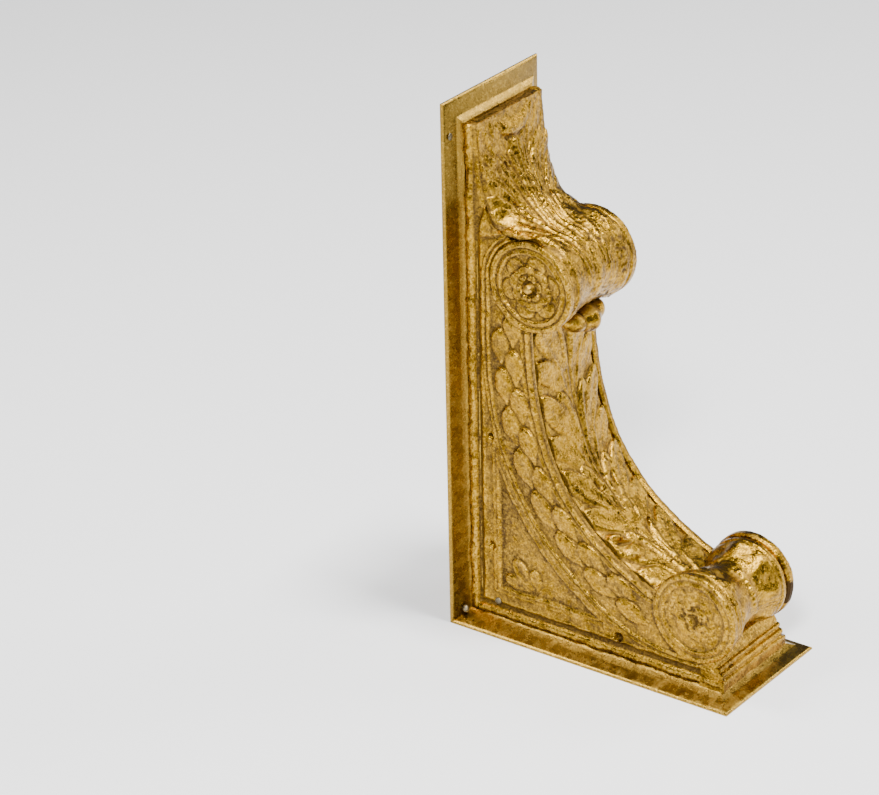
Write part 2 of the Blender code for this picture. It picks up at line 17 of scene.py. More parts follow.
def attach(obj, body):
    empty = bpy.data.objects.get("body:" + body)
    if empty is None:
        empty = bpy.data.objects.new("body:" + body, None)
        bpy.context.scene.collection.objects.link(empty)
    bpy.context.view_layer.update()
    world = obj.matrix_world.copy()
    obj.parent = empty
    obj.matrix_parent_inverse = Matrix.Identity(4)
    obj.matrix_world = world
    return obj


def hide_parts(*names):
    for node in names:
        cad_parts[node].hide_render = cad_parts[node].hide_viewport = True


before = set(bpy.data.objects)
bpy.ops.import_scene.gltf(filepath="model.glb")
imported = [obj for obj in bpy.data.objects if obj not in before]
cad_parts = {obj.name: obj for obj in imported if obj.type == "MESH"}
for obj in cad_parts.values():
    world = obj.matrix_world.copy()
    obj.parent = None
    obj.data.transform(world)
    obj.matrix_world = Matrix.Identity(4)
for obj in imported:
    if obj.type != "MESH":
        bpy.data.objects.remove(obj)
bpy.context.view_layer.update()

LOG = logging.getLogger("corbel")
MM = 0.001
HALF_DEPTH = 131.75
Array = np.ndarray
Pair = tuple[float, float]


class Flank(Enum):
    """The two sides of the casting."""

    LEFT = -1
    RIGHT = 1


def smooth(share: Array) -> Array:
    """Ease a share from 0 to 1, flat at both ends."""
    share = np.clip(share, 0.0, 1.0)
    return share * share * (3.0 - 2.0 * share)


def bell(values: Array, middle: float | Array, width: float | Array) -> Array:
    """Soft bump of height 1 that dies away to both sides."""
    return np.exp(-((values - middle) / width) ** 2)


def arch(values: Array, middle: float, half: float) -> Array:
    """Round arch of height 1 and a given half span, nought beside it."""
    return np.sqrt(np.clip(1.0 - ((values - middle) / half) ** 2, 0.0, 1.0))


def box_blur(values: Array, reach: int, axis: int) -> Array:
    """Average a field over a run of cells.

    Args:
        values: The field.
        reach: Cells to each side that count.
        axis: The axis along which it runs.

    Returns:
        The averaged field, of the same shape.
    """
    pad = [(0, 0), (0, 0)]
    pad[axis] = (reach + 1, reach)
    total = np.cumsum(np.pad(values, pad, mode="edge"), axis=axis)
    span = 2 * reach + 1
    count = values.shape[axis]
    high = np.take(total, np.arange(span, span + count), axis=axis)
    low = np.take(total, np.arange(count), axis=axis)
    return (high - low) / span


def blur(values: Array, reach: int) -> Array:
    """Soften a field in both directions.

    Args:
        values: The field.
        reach: Cells over which it is softened.

    Returns:
        The softened field.
    """
    for axis in (0, 1):
        for _ in range(3):
            values = box_blur(values, max(reach, 1), axis)
    return values


def grain(shape: tuple[int, int], reach: int, seed: int) -> Array:
    """Seeded uneven field of unit spread, as of sand-cast metal.

    Args:
        shape: Rows and columns.
        reach: Size of its lumps, in cells.
        seed: Seed of the random numbers.

    Returns:
        The field.
    """
    values = blur(np.random.default_rng(seed).standard_normal(shape), reach)
    return values / values.std()


def bezier(corners: Sequence[Pair], steps: int) -> Array:
    """Points of a cubic curve.

    Args:
        corners: Its four control points.
        steps: Number of stretches.

    Returns:
        The points, one in each row.
    """
    t = np.linspace(0.0, 1.0, steps + 1)[:, None]
    a, b, c, d = (np.array(corner, float) for corner in corners)
    return (1 - t) ** 3 * a + 3 * t * (1 - t) ** 2 * b + 3 * t * t * (1 - t) * c + t ** 3 * d


class Track:
    """A smooth curve in the side view, read by its length."""

    def __init__(self, points: Array, spacing: float = 1.5) -> None:
        """Lay out evenly spaced points.

        Args:
            points: Points along the curve.
            spacing: Distance between the points that are kept.
        """
        marks = np.concatenate([[0.0], np.cumsum(np.hypot(*np.diff(points, axis=0).T))])
        count = int(marks[-1] / spacing) + 1
        self.marks = np.linspace(0.0, marks[-1], count)
        self.points = np.stack([np.interp(self.marks, marks, points[:, k]) for k in (0, 1)], axis=1)
        run = np.gradient(self.points, axis=0)
        run = np.stack([blur(run[:, k:k + 1], 1)[:, 0] for k in (0, 1)], axis=1)
        run /= np.hypot(run[:, 0], run[:, 1])[:, None]
        self.normals = np.stack([-run[:, 1], run[:, 0]], axis=1)
        self.length = float(marks[-1])

    def at(self, s: Array) -> tuple[Array, Array, Array, Array]:
        """Point and outward normal at each length.

        Args:
            s: Lengths along the curve.

        Returns:
            d, z, and the two parts of the normal.
        """
        columns = (self.points[:, 0], self.points[:, 1], self.normals[:, 0], self.normals[:, 1])
        return tuple(np.interp(s, self.marks, column) for column in columns)

    def nearest(self, d: Array, z: Array) -> tuple[Array, Array]:
        """Length and inward distance of each point from the curve.

        Args:
            d: Distances out from the wall.
            z: Heights.

        Returns:
            The length along the curve, and the distance from it, positive behind the curve.
        """
        best = np.full(d.shape, 1e9)
        length = np.zeros(d.shape)
        for index in range(len(self.points) - 1):
            a = self.points[index]
            run = self.points[index + 1] - a
            share = np.clip(((d - a[0]) * run[0] + (z - a[1]) * run[1]) / (run @ run), 0.0, 1.0)
            gap = (d - a[0] - share * run[0]) ** 2 + (z - a[1] - share * run[1]) ** 2
            closer = gap < best
            best = np.where(closer, gap, best)
            length = np.where(closer, self.marks[index] + share * math.sqrt(run @ run), length)
        on_d, on_z, out_d, out_z = self.at(length)
        side = (d - on_d) * out_d + (z - on_z) * out_z
        return length, -np.sign(side) * np.sqrt(best)


@dataclass
class Layout:
    """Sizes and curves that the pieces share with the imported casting."""

    height: float = 450.0
    depth: float = 263.5
    half_width: float = 63.5
    body_half: float = 45.0
    cheek_inside: float = 38.6
    strip_half: float = 33.6
    strip_sunk: float = 1.6
    panel_top: float = 431.0
    panel_out: float = 19.5
    upper: Pair = (69.5, 307.4)
    upper_radius: float = 37.6
    upper_waist: float = 32.0
    lower: Pair = (220.7, 65.9)
    lower_radius: float = 38.6
    lower_waist: float = 30.5
    toe: float = 247.0
    ground: float = 20.8
    flange_rise: float = 9.3
    spool: Pair = (220.7, 64.4)
    panel: Track = field(init=False)
    rim: Track = field(init=False)
    ridge: Track = field(init=False)

    def __post_init__(self) -> None:
        """Draw the three side-view curves."""
        turn = np.radians(np.linspace(80.0, -60.0, 60))
        roll = np.array(self.upper) + self.upper_waist * np.stack([np.cos(turn), np.sin(turn)], axis=1)
        ogee = bezier(((self.panel_out, self.panel_top), (self.panel_out, self.panel_top - 46.0),
                       (roll[0, 0] - 31.0, roll[0, 1] + 5.6), tuple(roll[0])), 80)
        self.panel = Track(np.concatenate([ogee, roll[1:]]))
        top = (67.8, self.upper[1] - 22.4)
        end = (self.lower[0] - self.lower_waist + 7.1, self.lower[1] + 3.1)
        self.rim = Track(bezier((top, (top[0], top[1] - 122.0), (end[0] - 97.6, end[1] + 38.0), end), 120))
        turn = np.radians(np.linspace(104.0, 180.0, 30))
        head = np.array(self.upper) + 41.0 * np.stack([np.cos(turn), np.sin(turn)], axis=1)
        bend = (head[-1, 0], self.upper[1] - 62.4)
        under = (self.lower[0], self.lower[1] - self.lower_radius - 1.0)
        foot = (under[0] - 70.7, under[1] + 12.7)
        line = [head]
        line.append(bezier((bend, (bend[0], bend[1] - 111.0), (foot[0] - 62.0, foot[1] + 31.0), foot), 90))
        last = (foot, (foot[0] + 21.7, foot[1] - 10.9), (under[0] - 24.0, under[1]), under)
        line.append(bezier(last, 30)[1:])
        self.ridge = Track(np.concatenate(line))

    def setback(self, x: Array, s: Array) -> Array:
        """How far the top panel falls away towards its edges.

        Args:
            x: Places across the panel.
            s: Lengths along it.

        Returns:
            The fall, below nought where the roll flares out.
        """
        d, z, _, _ = self.panel.at(s)
        swell = np.maximum(d - 21.0, 0.0)
        fade = np.clip((z - self.upper[1] - self.upper_radius * 0.85) / 20.0, 0.0, 1.0)
        share = np.minimum(np.abs(x) / self.strip_half, 1.0)
        flare = (self.upper_radius - self.upper_waist) * share ** 2
        fall = 0.62 * swell * (np.abs(x) / self.body_half) ** 2.4
        return fall * fade - flare * (1.0 - fade)

    def on_panel(self, x: Array, s: Array, h: Array) -> Array:
        """Place points over the top panel and the roll.

        Args:
            x: Places across the panel.
            s: Lengths along it.
            h: Heights over it.

        Returns:
            The world points, in metres.
        """
        d, z, out_d, out_z = self.panel.at(s)
        lift = h - self.setback(x, s)
        return metres(x, d + out_d * lift, z + out_z * lift)

    def on_strip(self, x: Array, s: Array, h: Array) -> Array:
        """Place points over the front strip.

        Args:
            x: Places across the strip.
            s: Lengths along it.
            h: Heights over its ground.

        Returns:
            The world points, in metres.
        """
        d, z, out_d, out_z = self.rim.at(s)
        lift = h - self.strip_sunk
        return metres(x, d + out_d * lift, z + out_z * lift)


def metres(x: Array, d: Array, z: Array) -> Array:
    """World points, in metres, of points given across, out from the wall and up in millimetres."""
    x, d, z = np.broadcast_arrays(x, d, z)
    return np.stack([x, HALF_DEPTH - d, z], axis=-1) * MM


class Relief:
    """Heights over a flat field of two coordinates, carved one form at a time."""

    def __init__(self, a: Array, b: Array) -> None:
        """Start flat.

        Args:
            a: Coordinates of the columns.
            b: Coordinates of the rows.
        """
        self.a, self.b = np.meshgrid(a, b)
        self.cell = float(a[1] - a[0])
        self.height = np.zeros(self.a.shape)
        # dirt, and painted shade laid into some grooves and holes, which darken the finish
        self.soil_and_shade = np.zeros(self.a.shape)

    def window(self, points: Sequence[Pair], pad: float, coords: tuple[Array, Array] | None) -> tuple:
        """Rows and columns near some points.

        Args:
            points: The points.
            pad: Distance round them.
            coords: Coordinates that stand in for the field's own.

        Returns:
            The slices, and the two coordinates there.
        """
        a, b = coords or (self.a, self.b)
        low = np.min(points, axis=0) - pad
        high = np.max(points, axis=0) + pad
        near = (a > low[0]) & (a < high[0]) & (b > low[1]) & (b < high[1])
        rows = np.flatnonzero(near.any(axis=1))
        columns = np.flatnonzero(near.any(axis=0))
        if not len(rows):
            return None, None, None
        view = (slice(rows[0], rows[-1] + 1), slice(columns[0], columns[-1] + 1))
        return view, a[view], b[view]

    def lobe(self, base: Pair, tip: Pair, half: float, rise: float, bend: float = 0.0, scoop: float = 0.3,
             root: float = 0.35, lift: float = 0.3, crisp: float = 1.2, undercut: float = 0.8,
             floor: float = 0.0, coords: tuple[Array, Array] | None = None) -> None:
        """Raise one leaf lobe with a round tip, steep edges and a gouged middle.

        Args:
            base: Where it springs from.
            tip: Where it ends.
            half: Half of its greatest width.
            rise: Height of its tip.
            bend: How far its tip swings sideways.
            scoop: Depth of the gouge, as a share of the height.
            root: Width at the base, as a share of half.
            lift: Height at the base, as a share of rise.
            crisp: Width of its edge wall.
            undercut: Depth of the dark line round its tip.
            floor: Height on which it stands.
            coords: Coordinates that stand in for the field's own.
        """
        view, a, b = self.window((base, tip), half + abs(bend) + 2.0, coords)
        if view is None:
            return
        run = np.subtract(tip, base)
        length = math.hypot(*run)
        run = run / length
        t = ((a - base[0]) * run[0] + (b - base[1]) * run[1]) / length
        w = (b - base[1]) * run[0] - (a - base[0]) * run[1] - bend * t * t
        body = root + (1.0 - root) * smooth(t / 0.55)
        inside = half * np.where(t < 0.6, body, arch(t, 0.6, 0.4)) - np.abs(w)
        inside = np.where((t > -0.02) & (t < 1.0), np.minimum(inside, (t + 0.02) * length), -9.0)
        past = np.hypot(w, (t - 0.88) * length)
        rim = np.where(t > 0.35, np.maximum(inside, 0.45 * half - past), inside)
        dark = undercut * smooth((t - 0.3) / 0.4) * (1.0 - smooth(-rim / 1.8)) * (t < 1.1)
        here = self.height[view]
        here = here - np.where(inside <= 0.0, dark * (rim > -1.8), 0.0)
        furrow = scoop * bell(w, 0.0, 0.3 * half) * smooth(t / 0.25)
        dome = 0.72 + 0.28 * np.sqrt(np.clip(inside / (0.7 * half), 0.0, 1.0))
        along = lift + (1.0 - lift) * np.clip(t, 0.0, 1.0) ** 1.2
        raised = floor + rise * along * smooth(inside / crisp) * dome * (1.0 - furrow)
        self.height[view] = np.where(inside > 0.0, np.maximum(here, raised), here)

    def line(self, points: Sequence[Pair], half: float, rise: float, taper: Pair = (1.0, 1.0),
             coords: tuple[Array, Array] | None = None) -> None:
        """Add a rounded ridge along a line, or a groove where rise is negative.

        Args:
            points: Points of the line.
            half: Half of its width.
            rise: Its height.
            taper: Share of the height at its two ends.
            coords: Coordinates that stand in for the field's own.
        """
        view, a, b = self.window(points, half + 0.5, coords)
        if view is None:
            return
        spots = np.asarray(points, float)
        best = np.full(a.shape, 1e9)
        share = np.zeros(a.shape)
        last = len(spots) - 1
        for index in range(last):
            start = spots[index]
            run = spots[index + 1] - start
            along = np.clip(((a - start[0]) * run[0] + (b - start[1]) * run[1]) / (run @ run), 0.0, 1.0)
            gap = np.hypot(a - start[0] - along * run[0], b - start[1] - along * run[1])
            closer = gap < best
            best = np.where(closer, gap, best)
            share = np.where(closer, (index + along) / last, share)
        fall = arch(best, 0.0, half) * smooth((1.0 - best / half) / 0.35)
        self.height[view] += rise * (taper[0] + (taper[1] - taper[0]) * share) * fall

    def dome(self, centre: Pair, radii: Pair, rise: float, turn: float = 0.0) -> None:
        """Add an oval bump, or a pit where rise is negative.

        Args:
            centre: Its middle.
            radii: Its two half sizes.
            rise: Its height.
            turn: Degrees by which it is turned.
        """
        view, a, b = self.window((centre,), max(radii) + 1.0, None)
        if view is None:
            return
        cos = math.cos(math.radians(turn))
        sin = math.sin(math.radians(turn))
        along = ((a - centre[0]) * cos + (b - centre[1]) * sin) / radii[0]
        across = ((b - centre[1]) * cos - (a - centre[0]) * sin) / radii[1]
        fall = np.sqrt(np.clip(1.0 - along ** 2 - across ** 2, 0.0, 1.0))
        self.height[view] += rise * fall

    def wear(self, size: float, keep: float) -> None:
        """Round off fine carving, as paint and wear do.

        Args:
            size: Size of the forms that are rounded off.
            keep: Share of them that is left.
        """
        broad = blur(self.height, max(int(size / self.cell / 2), 1))
        kept = broad + (self.height - broad) * keep
        self.height = 0.5 * blur(kept, 1) + 0.5 * kept

    def cavity(self, reach: float) -> Array:
        """How far each spot lies below its surroundings, in mm, and below nought on edges.

        Args:
            reach: Distance over which the surroundings count.

        Returns:
            The field, with the added dirt and painted shade.
        """
        wide = blur(self.height, int(reach / self.cell))
        near = blur(self.height, max(int(reach / self.cell / 3), 1))
        return np.clip(0.5 * (wide - self.height) + 0.8 * (near - self.height) + self.soil_and_shade, -1.2, 0.72)


def deselect() -> None:
    """Leave edit mode and select nothing."""
    if bpy.context.object and bpy.context.object.mode != "OBJECT":
        bpy.ops.object.mode_set(mode="OBJECT")
    bpy.ops.object.select_all(action="DESELECT")


def take_up(piece: bpy.types.Object) -> None:
    """Select one piece alone and make it active.

    Args:
        piece: The piece.
    """
    deselect()
    piece.select_set(True)
    bpy.context.view_layer.objects.active = piece


def points_of(piece: bpy.types.Object) -> Array:
    """All points of a piece.

    Args:
        piece: The piece.

    Returns:
        Its points in metres, one in each row.
    """
    values = np.zeros(len(piece.data.vertices) * 3)
    piece.data.vertices.foreach_get("co", values)
    return values.reshape(-1, 3)


def place_points(piece: bpy.types.Object, points: Array) -> None:
    """Move all points of a piece."""
    piece.data.vertices.foreach_set("co", np.ascontiguousarray(points, float).ravel())
    piece.data.update()


def picked(piece: bpy.types.Object) -> Array:
    """Which points of a piece are selected.

    Args:
        piece: The piece.

    Returns:
        True at each point that is.
    """
    values = np.zeros(len(piece.data.vertices), bool)
    piece.data.vertices.foreach_get("select", values)
    return values


def start_grid(name: str, columns: int, rows: int) -> tuple[bpy.types.Object, Array]:
    """Add a flat grid primitive.

    Args:
        name: Name of the piece.
        columns: Points across.
        rows: Points along.

    Returns:
        The piece, and for each of its points the index in a rows by columns field.
    """
    deselect()
    bpy.ops.mesh.primitive_grid_add(x_subdivisions=columns - 1, y_subdivisions=rows - 1, size=2.0)
    piece = bpy.context.object
    piece.name = name
    piece.data.name = name
    flat = points_of(piece)
    column = np.rint((flat[:, 0] + 1.0) / 2.0 * (columns - 1)).astype(int)
    row = np.rint((flat[:, 1] + 1.0) / 2.0 * (rows - 1)).astype(int)
    return piece, row * columns + column


def store(piece: bpy.types.Object, values: Array) -> None:
    """Keep the hollows of a carved sheet as an attribute that its finish reads."""
    attribute = piece.data.attributes.new("cavity", "FLOAT", "POINT")
    attribute.data.foreach_set("value", np.ascontiguousarray(values, np.float32))


def stored(piece: bpy.types.Object, name: str) -> Array:
    """Read an attribute with one number at each point.

    Args:
        piece: The piece.
        name: Name of the attribute.

    Returns:
        Its numbers.
    """
    values = np.zeros(len(piece.data.vertices), np.float32)
    piece.data.attributes[name].data.foreach_get("value", values)
    return values


def select_border(piece: bpy.types.Object) -> None:
    """Enter edit mode with the open border of a sheet selected.

    Args:
        piece: The sheet.
    """
    take_up(piece)
    bpy.ops.object.mode_set(mode="EDIT")
    bpy.ops.mesh.select_mode(type="EDGE")
    bpy.ops.mesh.select_all(action="DESELECT")
    bpy.ops.mesh.select_non_manifold(extend=False, use_wire=False, use_boundary=True, use_multi_face=False,
                                     use_non_contiguous=False, use_verts=False)


def face_outwards(piece: bpy.types.Object) -> None:
    """Turn all faces of a closed piece outwards.

    Args:
        piece: The piece.
    """
    take_up(piece)
    bpy.ops.object.mode_set(mode="EDIT")
    bpy.ops.mesh.select_all(action="SELECT")
    bpy.ops.mesh.normals_make_consistent(inside=False)
    bpy.ops.object.mode_set(mode="OBJECT")


def draw_back(piece: bpy.types.Object, axis: int, level: float, inward: Callable | None = None) -> None:
    """Extrude the open border of a sheet straight to a plane.

    Args:
        piece: The sheet.
        axis: The axis across the plane.
        level: Where the plane is, in metres.
        inward: Moves the new points, where the border draws in.
    """
    select_border(piece)
    bpy.ops.mesh.mark_sharp()
    bpy.ops.mesh.extrude_edges_indiv()
    bpy.ops.object.mode_set(mode="OBJECT")
    points = points_of(piece)
    new = picked(piece)
    values = np.where(new, np.float32(0.12), stored(piece, "cavity"))
    piece.data.attributes["cavity"].data.foreach_set("value", values)
    points[new, axis] = level
    if inward is not None:
        points[new] = inward(points[new])
    place_points(piece, points)


def close_off(piece: bpy.types.Object, one_face: bool = False) -> None:
    """Fill the open border and turn all faces outwards.

    Args:
        piece: The piece.
        one_face: Whether one face closes it, and not flat triangles.
    """
    select_border(piece)
    bpy.ops.mesh.mark_sharp()
    if one_face:
        bpy.ops.mesh.edge_face_add()
    else:
        bpy.ops.mesh.fill(use_beauty=False)
    face_outwards(piece)


def carved_sheet(name: str, relief: Relief, points: Array, back: float,
                 soil_and_shade: float = 0.0) -> bpy.types.Object:
    """Closed body with a carved front and a flat back parallel to the wall.

    Args:
        name: Name of the piece.
        relief: The carving.
        points: World points of the front, rows by columns.
        back: Distance of the back from the wall, in mm.
        soil_and_shade: Darkening that lies evenly on it, as dirt and painted shade.

    Returns:
        The piece.
    """
    rows, columns = relief.height.shape
    piece, index = start_grid(name, columns, rows)
    place_points(piece, points.reshape(-1, 3)[index])
    store(piece, relief.cavity(3.0).ravel()[index] + soil_and_shade)
    draw_back(piece, 1, (HALF_DEPTH - back) * MM)
    close_off(piece, one_face=True)
    return piece


@dataclass
class PlateFrame:
    """Wall plate and base plate, each with a square edge and a hollow rise to the inner corner."""

    layout: Layout
    edge: float = 2.0
    side: float = 17.7
    top: float = 19.0
    toe: float = 16.5
    start: float = 0.5
    steps: int = 14

    def rise(self, share: float) -> float:
        """Height of the cove at a share of its run."""
        hollow = 1.0 - math.sqrt(max(1.0 - share * share, 0.0))
        return self.edge + (self.layout.flange_rise - self.edge) * (0.8 * share + 0.2 * hollow)

    def plate(self, name: str, reach: float, inset: float, place: Callable) -> bpy.types.Object:
        """One plate, extruded step by step from a flat outline.

        Args:
            name: Name of the piece.
            reach: Length from the inner corner to its free end.
            inset: Run of the cove at that end.
            place: Gives the world point of (x, along, rise).

        Returns:
            The piece.
        """
        deselect()
        bpy.ops.mesh.primitive_plane_add(size=1.0)
        piece = bpy.context.object
        piece.name = name
        flat = points_of(piece)
        across = np.sign(flat[:, 0])
        far = flat[:, 1] > 0.0
        half = self.layout.half_width
        start = self.start
        place_points(piece, place(across * half, np.where(far, reach, start), np.zeros(4)))
        stations = [(0.0, 0.6), (0.0, self.edge - 0.7), (0.04, self.edge)]
        for step in range(1, self.steps + 1):
            share = 0.04 + 0.96 * step / self.steps
            stations.append((share, self.rise(share)))
        bpy.ops.object.mode_set(mode="EDIT")
        bpy.ops.mesh.select_all(action="SELECT")
        for share, rise in stations:
            bpy.ops.mesh.extrude_region()
            bpy.ops.object.mode_set(mode="OBJECT")
            points = points_of(piece)
            new = np.flatnonzero(picked(piece))
            x = np.sign(points[new, 0]) * (half - self.side * share)
            along_axis = 2 if name.startswith("wall") else 1
            raw = points[new, along_axis]
            outer = raw > raw.mean() if along_axis == 2 else raw < raw.mean()
            points[new] = place(x, np.where(outer, reach - inset * share, start), np.full(4, rise))
            place_points(piece, points)
            bpy.ops.object.mode_set(mode="EDIT")
        face_outwards(piece)
        return piece

    def build(self) -> list[bpy.types.Object]:
        """Both plates.

        Returns:
            The wall plate and the base plate.
        """
        wall = self.plate("wall_flange", self.layout.height, self.top, lambda x, a, r: metres(x, r, a))
        base = self.plate("base_flange", self.layout.depth, self.toe, lambda x, a, r: metres(x, a, r))
        return [wall, base]


@dataclass
class FlankSide:
    """One carved flank with its two rosette discs."""

    layout: Layout
    flank: Flank
    cell: float = 0.75
    first: float = 8.0
    # screw holes: out from the wall, up, radius
    holes: tuple = ((30.0, 169.0, 2.5), (30.0, 72.0, 2.8), (151.0, 25.5, 3.6))
    husk_columns: Pair = (16.6, 28.6)
    husk_pitch: float = 31.0
    husk_length: float = 33.0
    husk_half: float = 8.8
    husk_rise: float = 3.0

    def outline(self) -> Array:
        """Side view of the flank without its discs.

        Returns:
            Its corners in order, one in each row.
        """
        lay = self.layout
        s = np.linspace(0.0, 118.0, 60)
        d, z, out_d, out_z = lay.panel.at(s)
        fall = lay.setback(np.full(s.shape, lay.body_half), s)
        edge = np.stack([d - out_d * fall, z - out_z * fall], axis=1)
        gap = np.hypot(edge[:, 0] - lay.upper[0], edge[:, 1] - lay.upper[1])
        edge = edge[gap > lay.upper_radius - 4.0]
        corners = [np.array([[8.0, 8.0], [8.0, lay.panel_top]]), edge, np.array([lay.upper]),
                   lay.rim.points, np.array([lay.lower, (lay.toe - 7.0, lay.ground + 3.0),
                                             (lay.toe - 1.0, lay.ground), (lay.toe, lay.ground - 3.0),
                                             (lay.toe + 1.5, lay.ground - 4.0), (lay.toe + 1.5, 8.0)])]
        return np.concatenate(corners)

    def lower_disc(self) -> tuple[Pair, float]:
        """Lower disc, smaller on the worn right flank.

        Returns:
            Its middle and its radius.
        """
        if self.flank is Flank.LEFT:
            return (221.2, 64.4), 37.6
        return (219.9, 63.9), 36.2

    def distance(self, d: Array, z: Array) -> Array:
        """Distance of points from the silhouette.

        Args:
            d: Distances out from the wall.
            z: Heights.

        Returns:
            The distance outside it, negative inside.
        """
        ring = self.outline()
        inside = np.zeros(d.shape, bool)
        best = np.full(d.shape, 1e9)
        for a, b in zip(ring, np.roll(ring, -1, axis=0)):
            run = b - a
            if run @ run < 1e-9:
                continue
            share = np.clip(((d - a[0]) * run[0] + (z - a[1]) * run[1]) / (run @ run), 0.0, 1.0)
            best = np.minimum(best, (d - a[0] - share * run[0]) ** 2 + (z - a[1] - share * run[1]) ** 2)
            if a[1] != b[1]:
                crossing = (a[1] > z) != (b[1] > z)
                inside ^= crossing & (d < a[0] + (z - a[1]) * run[0] / run[1])
        body = np.where(inside, -1.0, 1.0) * np.sqrt(best)
        for centre, radius in ((self.layout.upper, self.layout.upper_radius), self.lower_disc()):
            body = np.minimum(body, np.hypot(d - centre[0], z - centre[1]) - radius)
        return body

    def mouldings(self, relief: Relief) -> None:
        """Ridge and groove along the plates, the groove darkened with painted shade.

        Args:
            relief: The field.
        """
        near = np.minimum(relief.a, relief.b)
        bead = np.sqrt(np.clip(1.0 - ((near - 13.1) / 3.5) ** 4, 0.0, 1.0))
        plain = smooth((relief.b - 332.0) / 8.0)
        hollow = 2.1 * smooth((near - 16.4) / 0.9) * smooth((21.8 - near) / 3.2) * (1.0 - plain)
        step = 0.8 * smooth((24.6 - near) / 0.9) * smooth((near - 21.4) / 0.8) * (1.0 - plain)
        relief.height += np.where(near < 17.4, 2.5 * bead, 0.0) - hollow + step
        # painted shade: the hollow along the plates is darkened in the finish
        relief.soil_and_shade += 0.12 * hollow

    def wing(self, relief: Relief) -> None:
        """Lowest lobe of the upper leaf, which lies over the corner of the flank.

        Args:
            relief: The field.
        """
        d = relief.a
        z = relief.b
        low = np.interp(d, (20.0, 37.0, 50.0, 62.0), (337.0, 342.0, 351.0, 348.0))
        left = np.interp(z, (336.0, 352.0, 366.0, 374.0, 404.0), (20.6, 22.5, 27.0, 27.0, 23.6))
        over = smooth((d - left) / 1.8) * smooth((z - low) / 2.2) * (1.0 - smooth((z - 398.0) / 9.0))
        lumps = 0.5 * grain(d.shape, 4, 61)
        relief.height += over * (2.3 + np.clip(lumps, -1.0, 1.4))
        on = (d > 20.0) & (z > 330.0)
        relief.height -= 0.8 * bell(z, low, 1.2) * smooth((62.0 - d) / 4.0) * on
        relief.dome((38.6, 362.0), (8.5, 5.0), 1.8, 15.0)
        relief.dome((28.6, 370.5), (3.0, 5.5), -2.6)
        relief.dome((27.5, 351.0), (5.5, 7.5), 1.2)
        relief.dome((44.0, 353.0), (9.0, 3.0), 1.2, 8.0)

    def band(self, relief: Relief, s: Array, w: Array, ridge_w: Array) -> None:
        """Rim fillets, inner ridge and husk scales.

        Args:
            relief: The field.
            s: Length along the rim at each spot.
            w: Distance behind the rim.
            ridge_w: Distance behind the inner ridge.
        """
        lay = self.layout
        free = (s > 0.5) & (s < lay.rim.length - 0.5)
        for place, half, rise in ((3.6, 1.7, 1.5), (8.4, 1.5, 1.3)):
            relief.height += np.where(free, rise * arch(w, place, half), 0.0)
        relief.height -= np.where(free, 1.3 * bell(w, 6.3, 0.8), 0.0)
        ridges = 2.2 * arch(ridge_w, -0.4, 1.7) + 1.4 * arch(ridge_w, 3.6, 1.3) - bell(ridge_w, 1.8, 0.8)
        relief.height += np.where((relief.a > 22.5) & (relief.b > 22.5), ridges, 0.0)
        for column, inset in enumerate(self.husk_columns):
            for index in range(8):
                start = self.husk_pitch * (index + 0.5 * column) + 3.0
                relief.lobe((start + self.husk_length, inset), (start, inset), self.husk_half,
                            self.husk_rise, root=0.02, lift=0.4, scoop=0.0, crisp=1.3, undercut=2.1,
                            coords=(s, w))

    def spandrel(self, relief: Relief, ridge_w: Array) -> None:
        """Sunk corner panel with fillets and a small leaf.

        Args:
            relief: The field.
            ridge_w: Distance behind the inner ridge at each spot.
        """
        inner = np.minimum(np.minimum(relief.a - 37.5, relief.b - 36.5), ridge_w - 11.0)
        relief.height -= 1.7 * smooth(inner / 1.6)
        clear = (relief.a > 23.5) & (relief.b > 23.5) & (ridge_w > 5.5)
        for offset, rise in ((-1.6, 0.9), (-5.2, 0.7)):
            relief.height += np.where(clear, rise * arch(inner, offset, 1.3), 0.0)
        leaf = (((66, 40), (41, 47), 6.5), ((68, 41), (50, 64), 7.5), ((74, 42), (68, 60), 6.0))
        for base, tip, half in leaf:
            relief.lobe(base, tip, half, 3.0, lift=0.5, floor=-1.7, crisp=1.8, undercut=0.5, scoop=0.45)

    def rosette(self, relief: Relief, centre: Pair, radius: float, wear: float) -> None:
        """Disc with rings and a three-tier rosette, its middle pitted where it is worn.

        Args:
            relief: The field.
            centre: Its middle.
            radius: Its radius.
            wear: Share of the carving that is left.
        """
        r = np.hypot(relief.a - centre[0], relief.b - centre[1])
        on = r < radius + 0.4
        face = 0.1 + 1.1 * smooth((r - 27.0) / 2.0)
        for ring, half, rise in ((28.8, 1.5, 0.7), (32.6, 1.1, -0.8), (34.2, 1.0, 0.5), (36.6, 1.2, 0.3)):
            face += rise * arch(r, ring, half)
        relief.height = np.where(on, face, relief.height)
        relief.soil_and_shade = np.where(on, 0.12, relief.soil_and_shade)
        beside = (r >= radius + 0.4) & (r < radius + 2.6)
        relief.height -= np.where(beside, 1.2 * (1.0 - (r - radius - 0.4) / 2.2), 0.0)
        for index in range(6):
            angle = math.tau * (index + 0.25) / 6
            for start, stop, half, rise, shift in ((10.0, 27.0, 8.8, 0.7, 0.0), (5.0, 19.0, 8.6, 1.9, 0.5),
                                                   (3.0, 11.4, 5.0, 3.0, 0.0)):
                turned = angle + shift * math.tau / 6
                way = np.array((math.cos(turned), math.sin(turned)))
                relief.lobe(tuple(centre + way * start), tuple(centre + way * stop), half, rise * wear,
                            root=0.6, lift=0.6, scoop=0.35, crisp=1.6, undercut=0.5 * wear)
        if wear < 1.0:
            rough = np.clip(grain(r.shape, 1, 81) + 0.6 * grain(r.shape, 3, 82) - 0.2, 0.0, 2.0)
            rough *= smooth((16.0 - r) / 6.0)
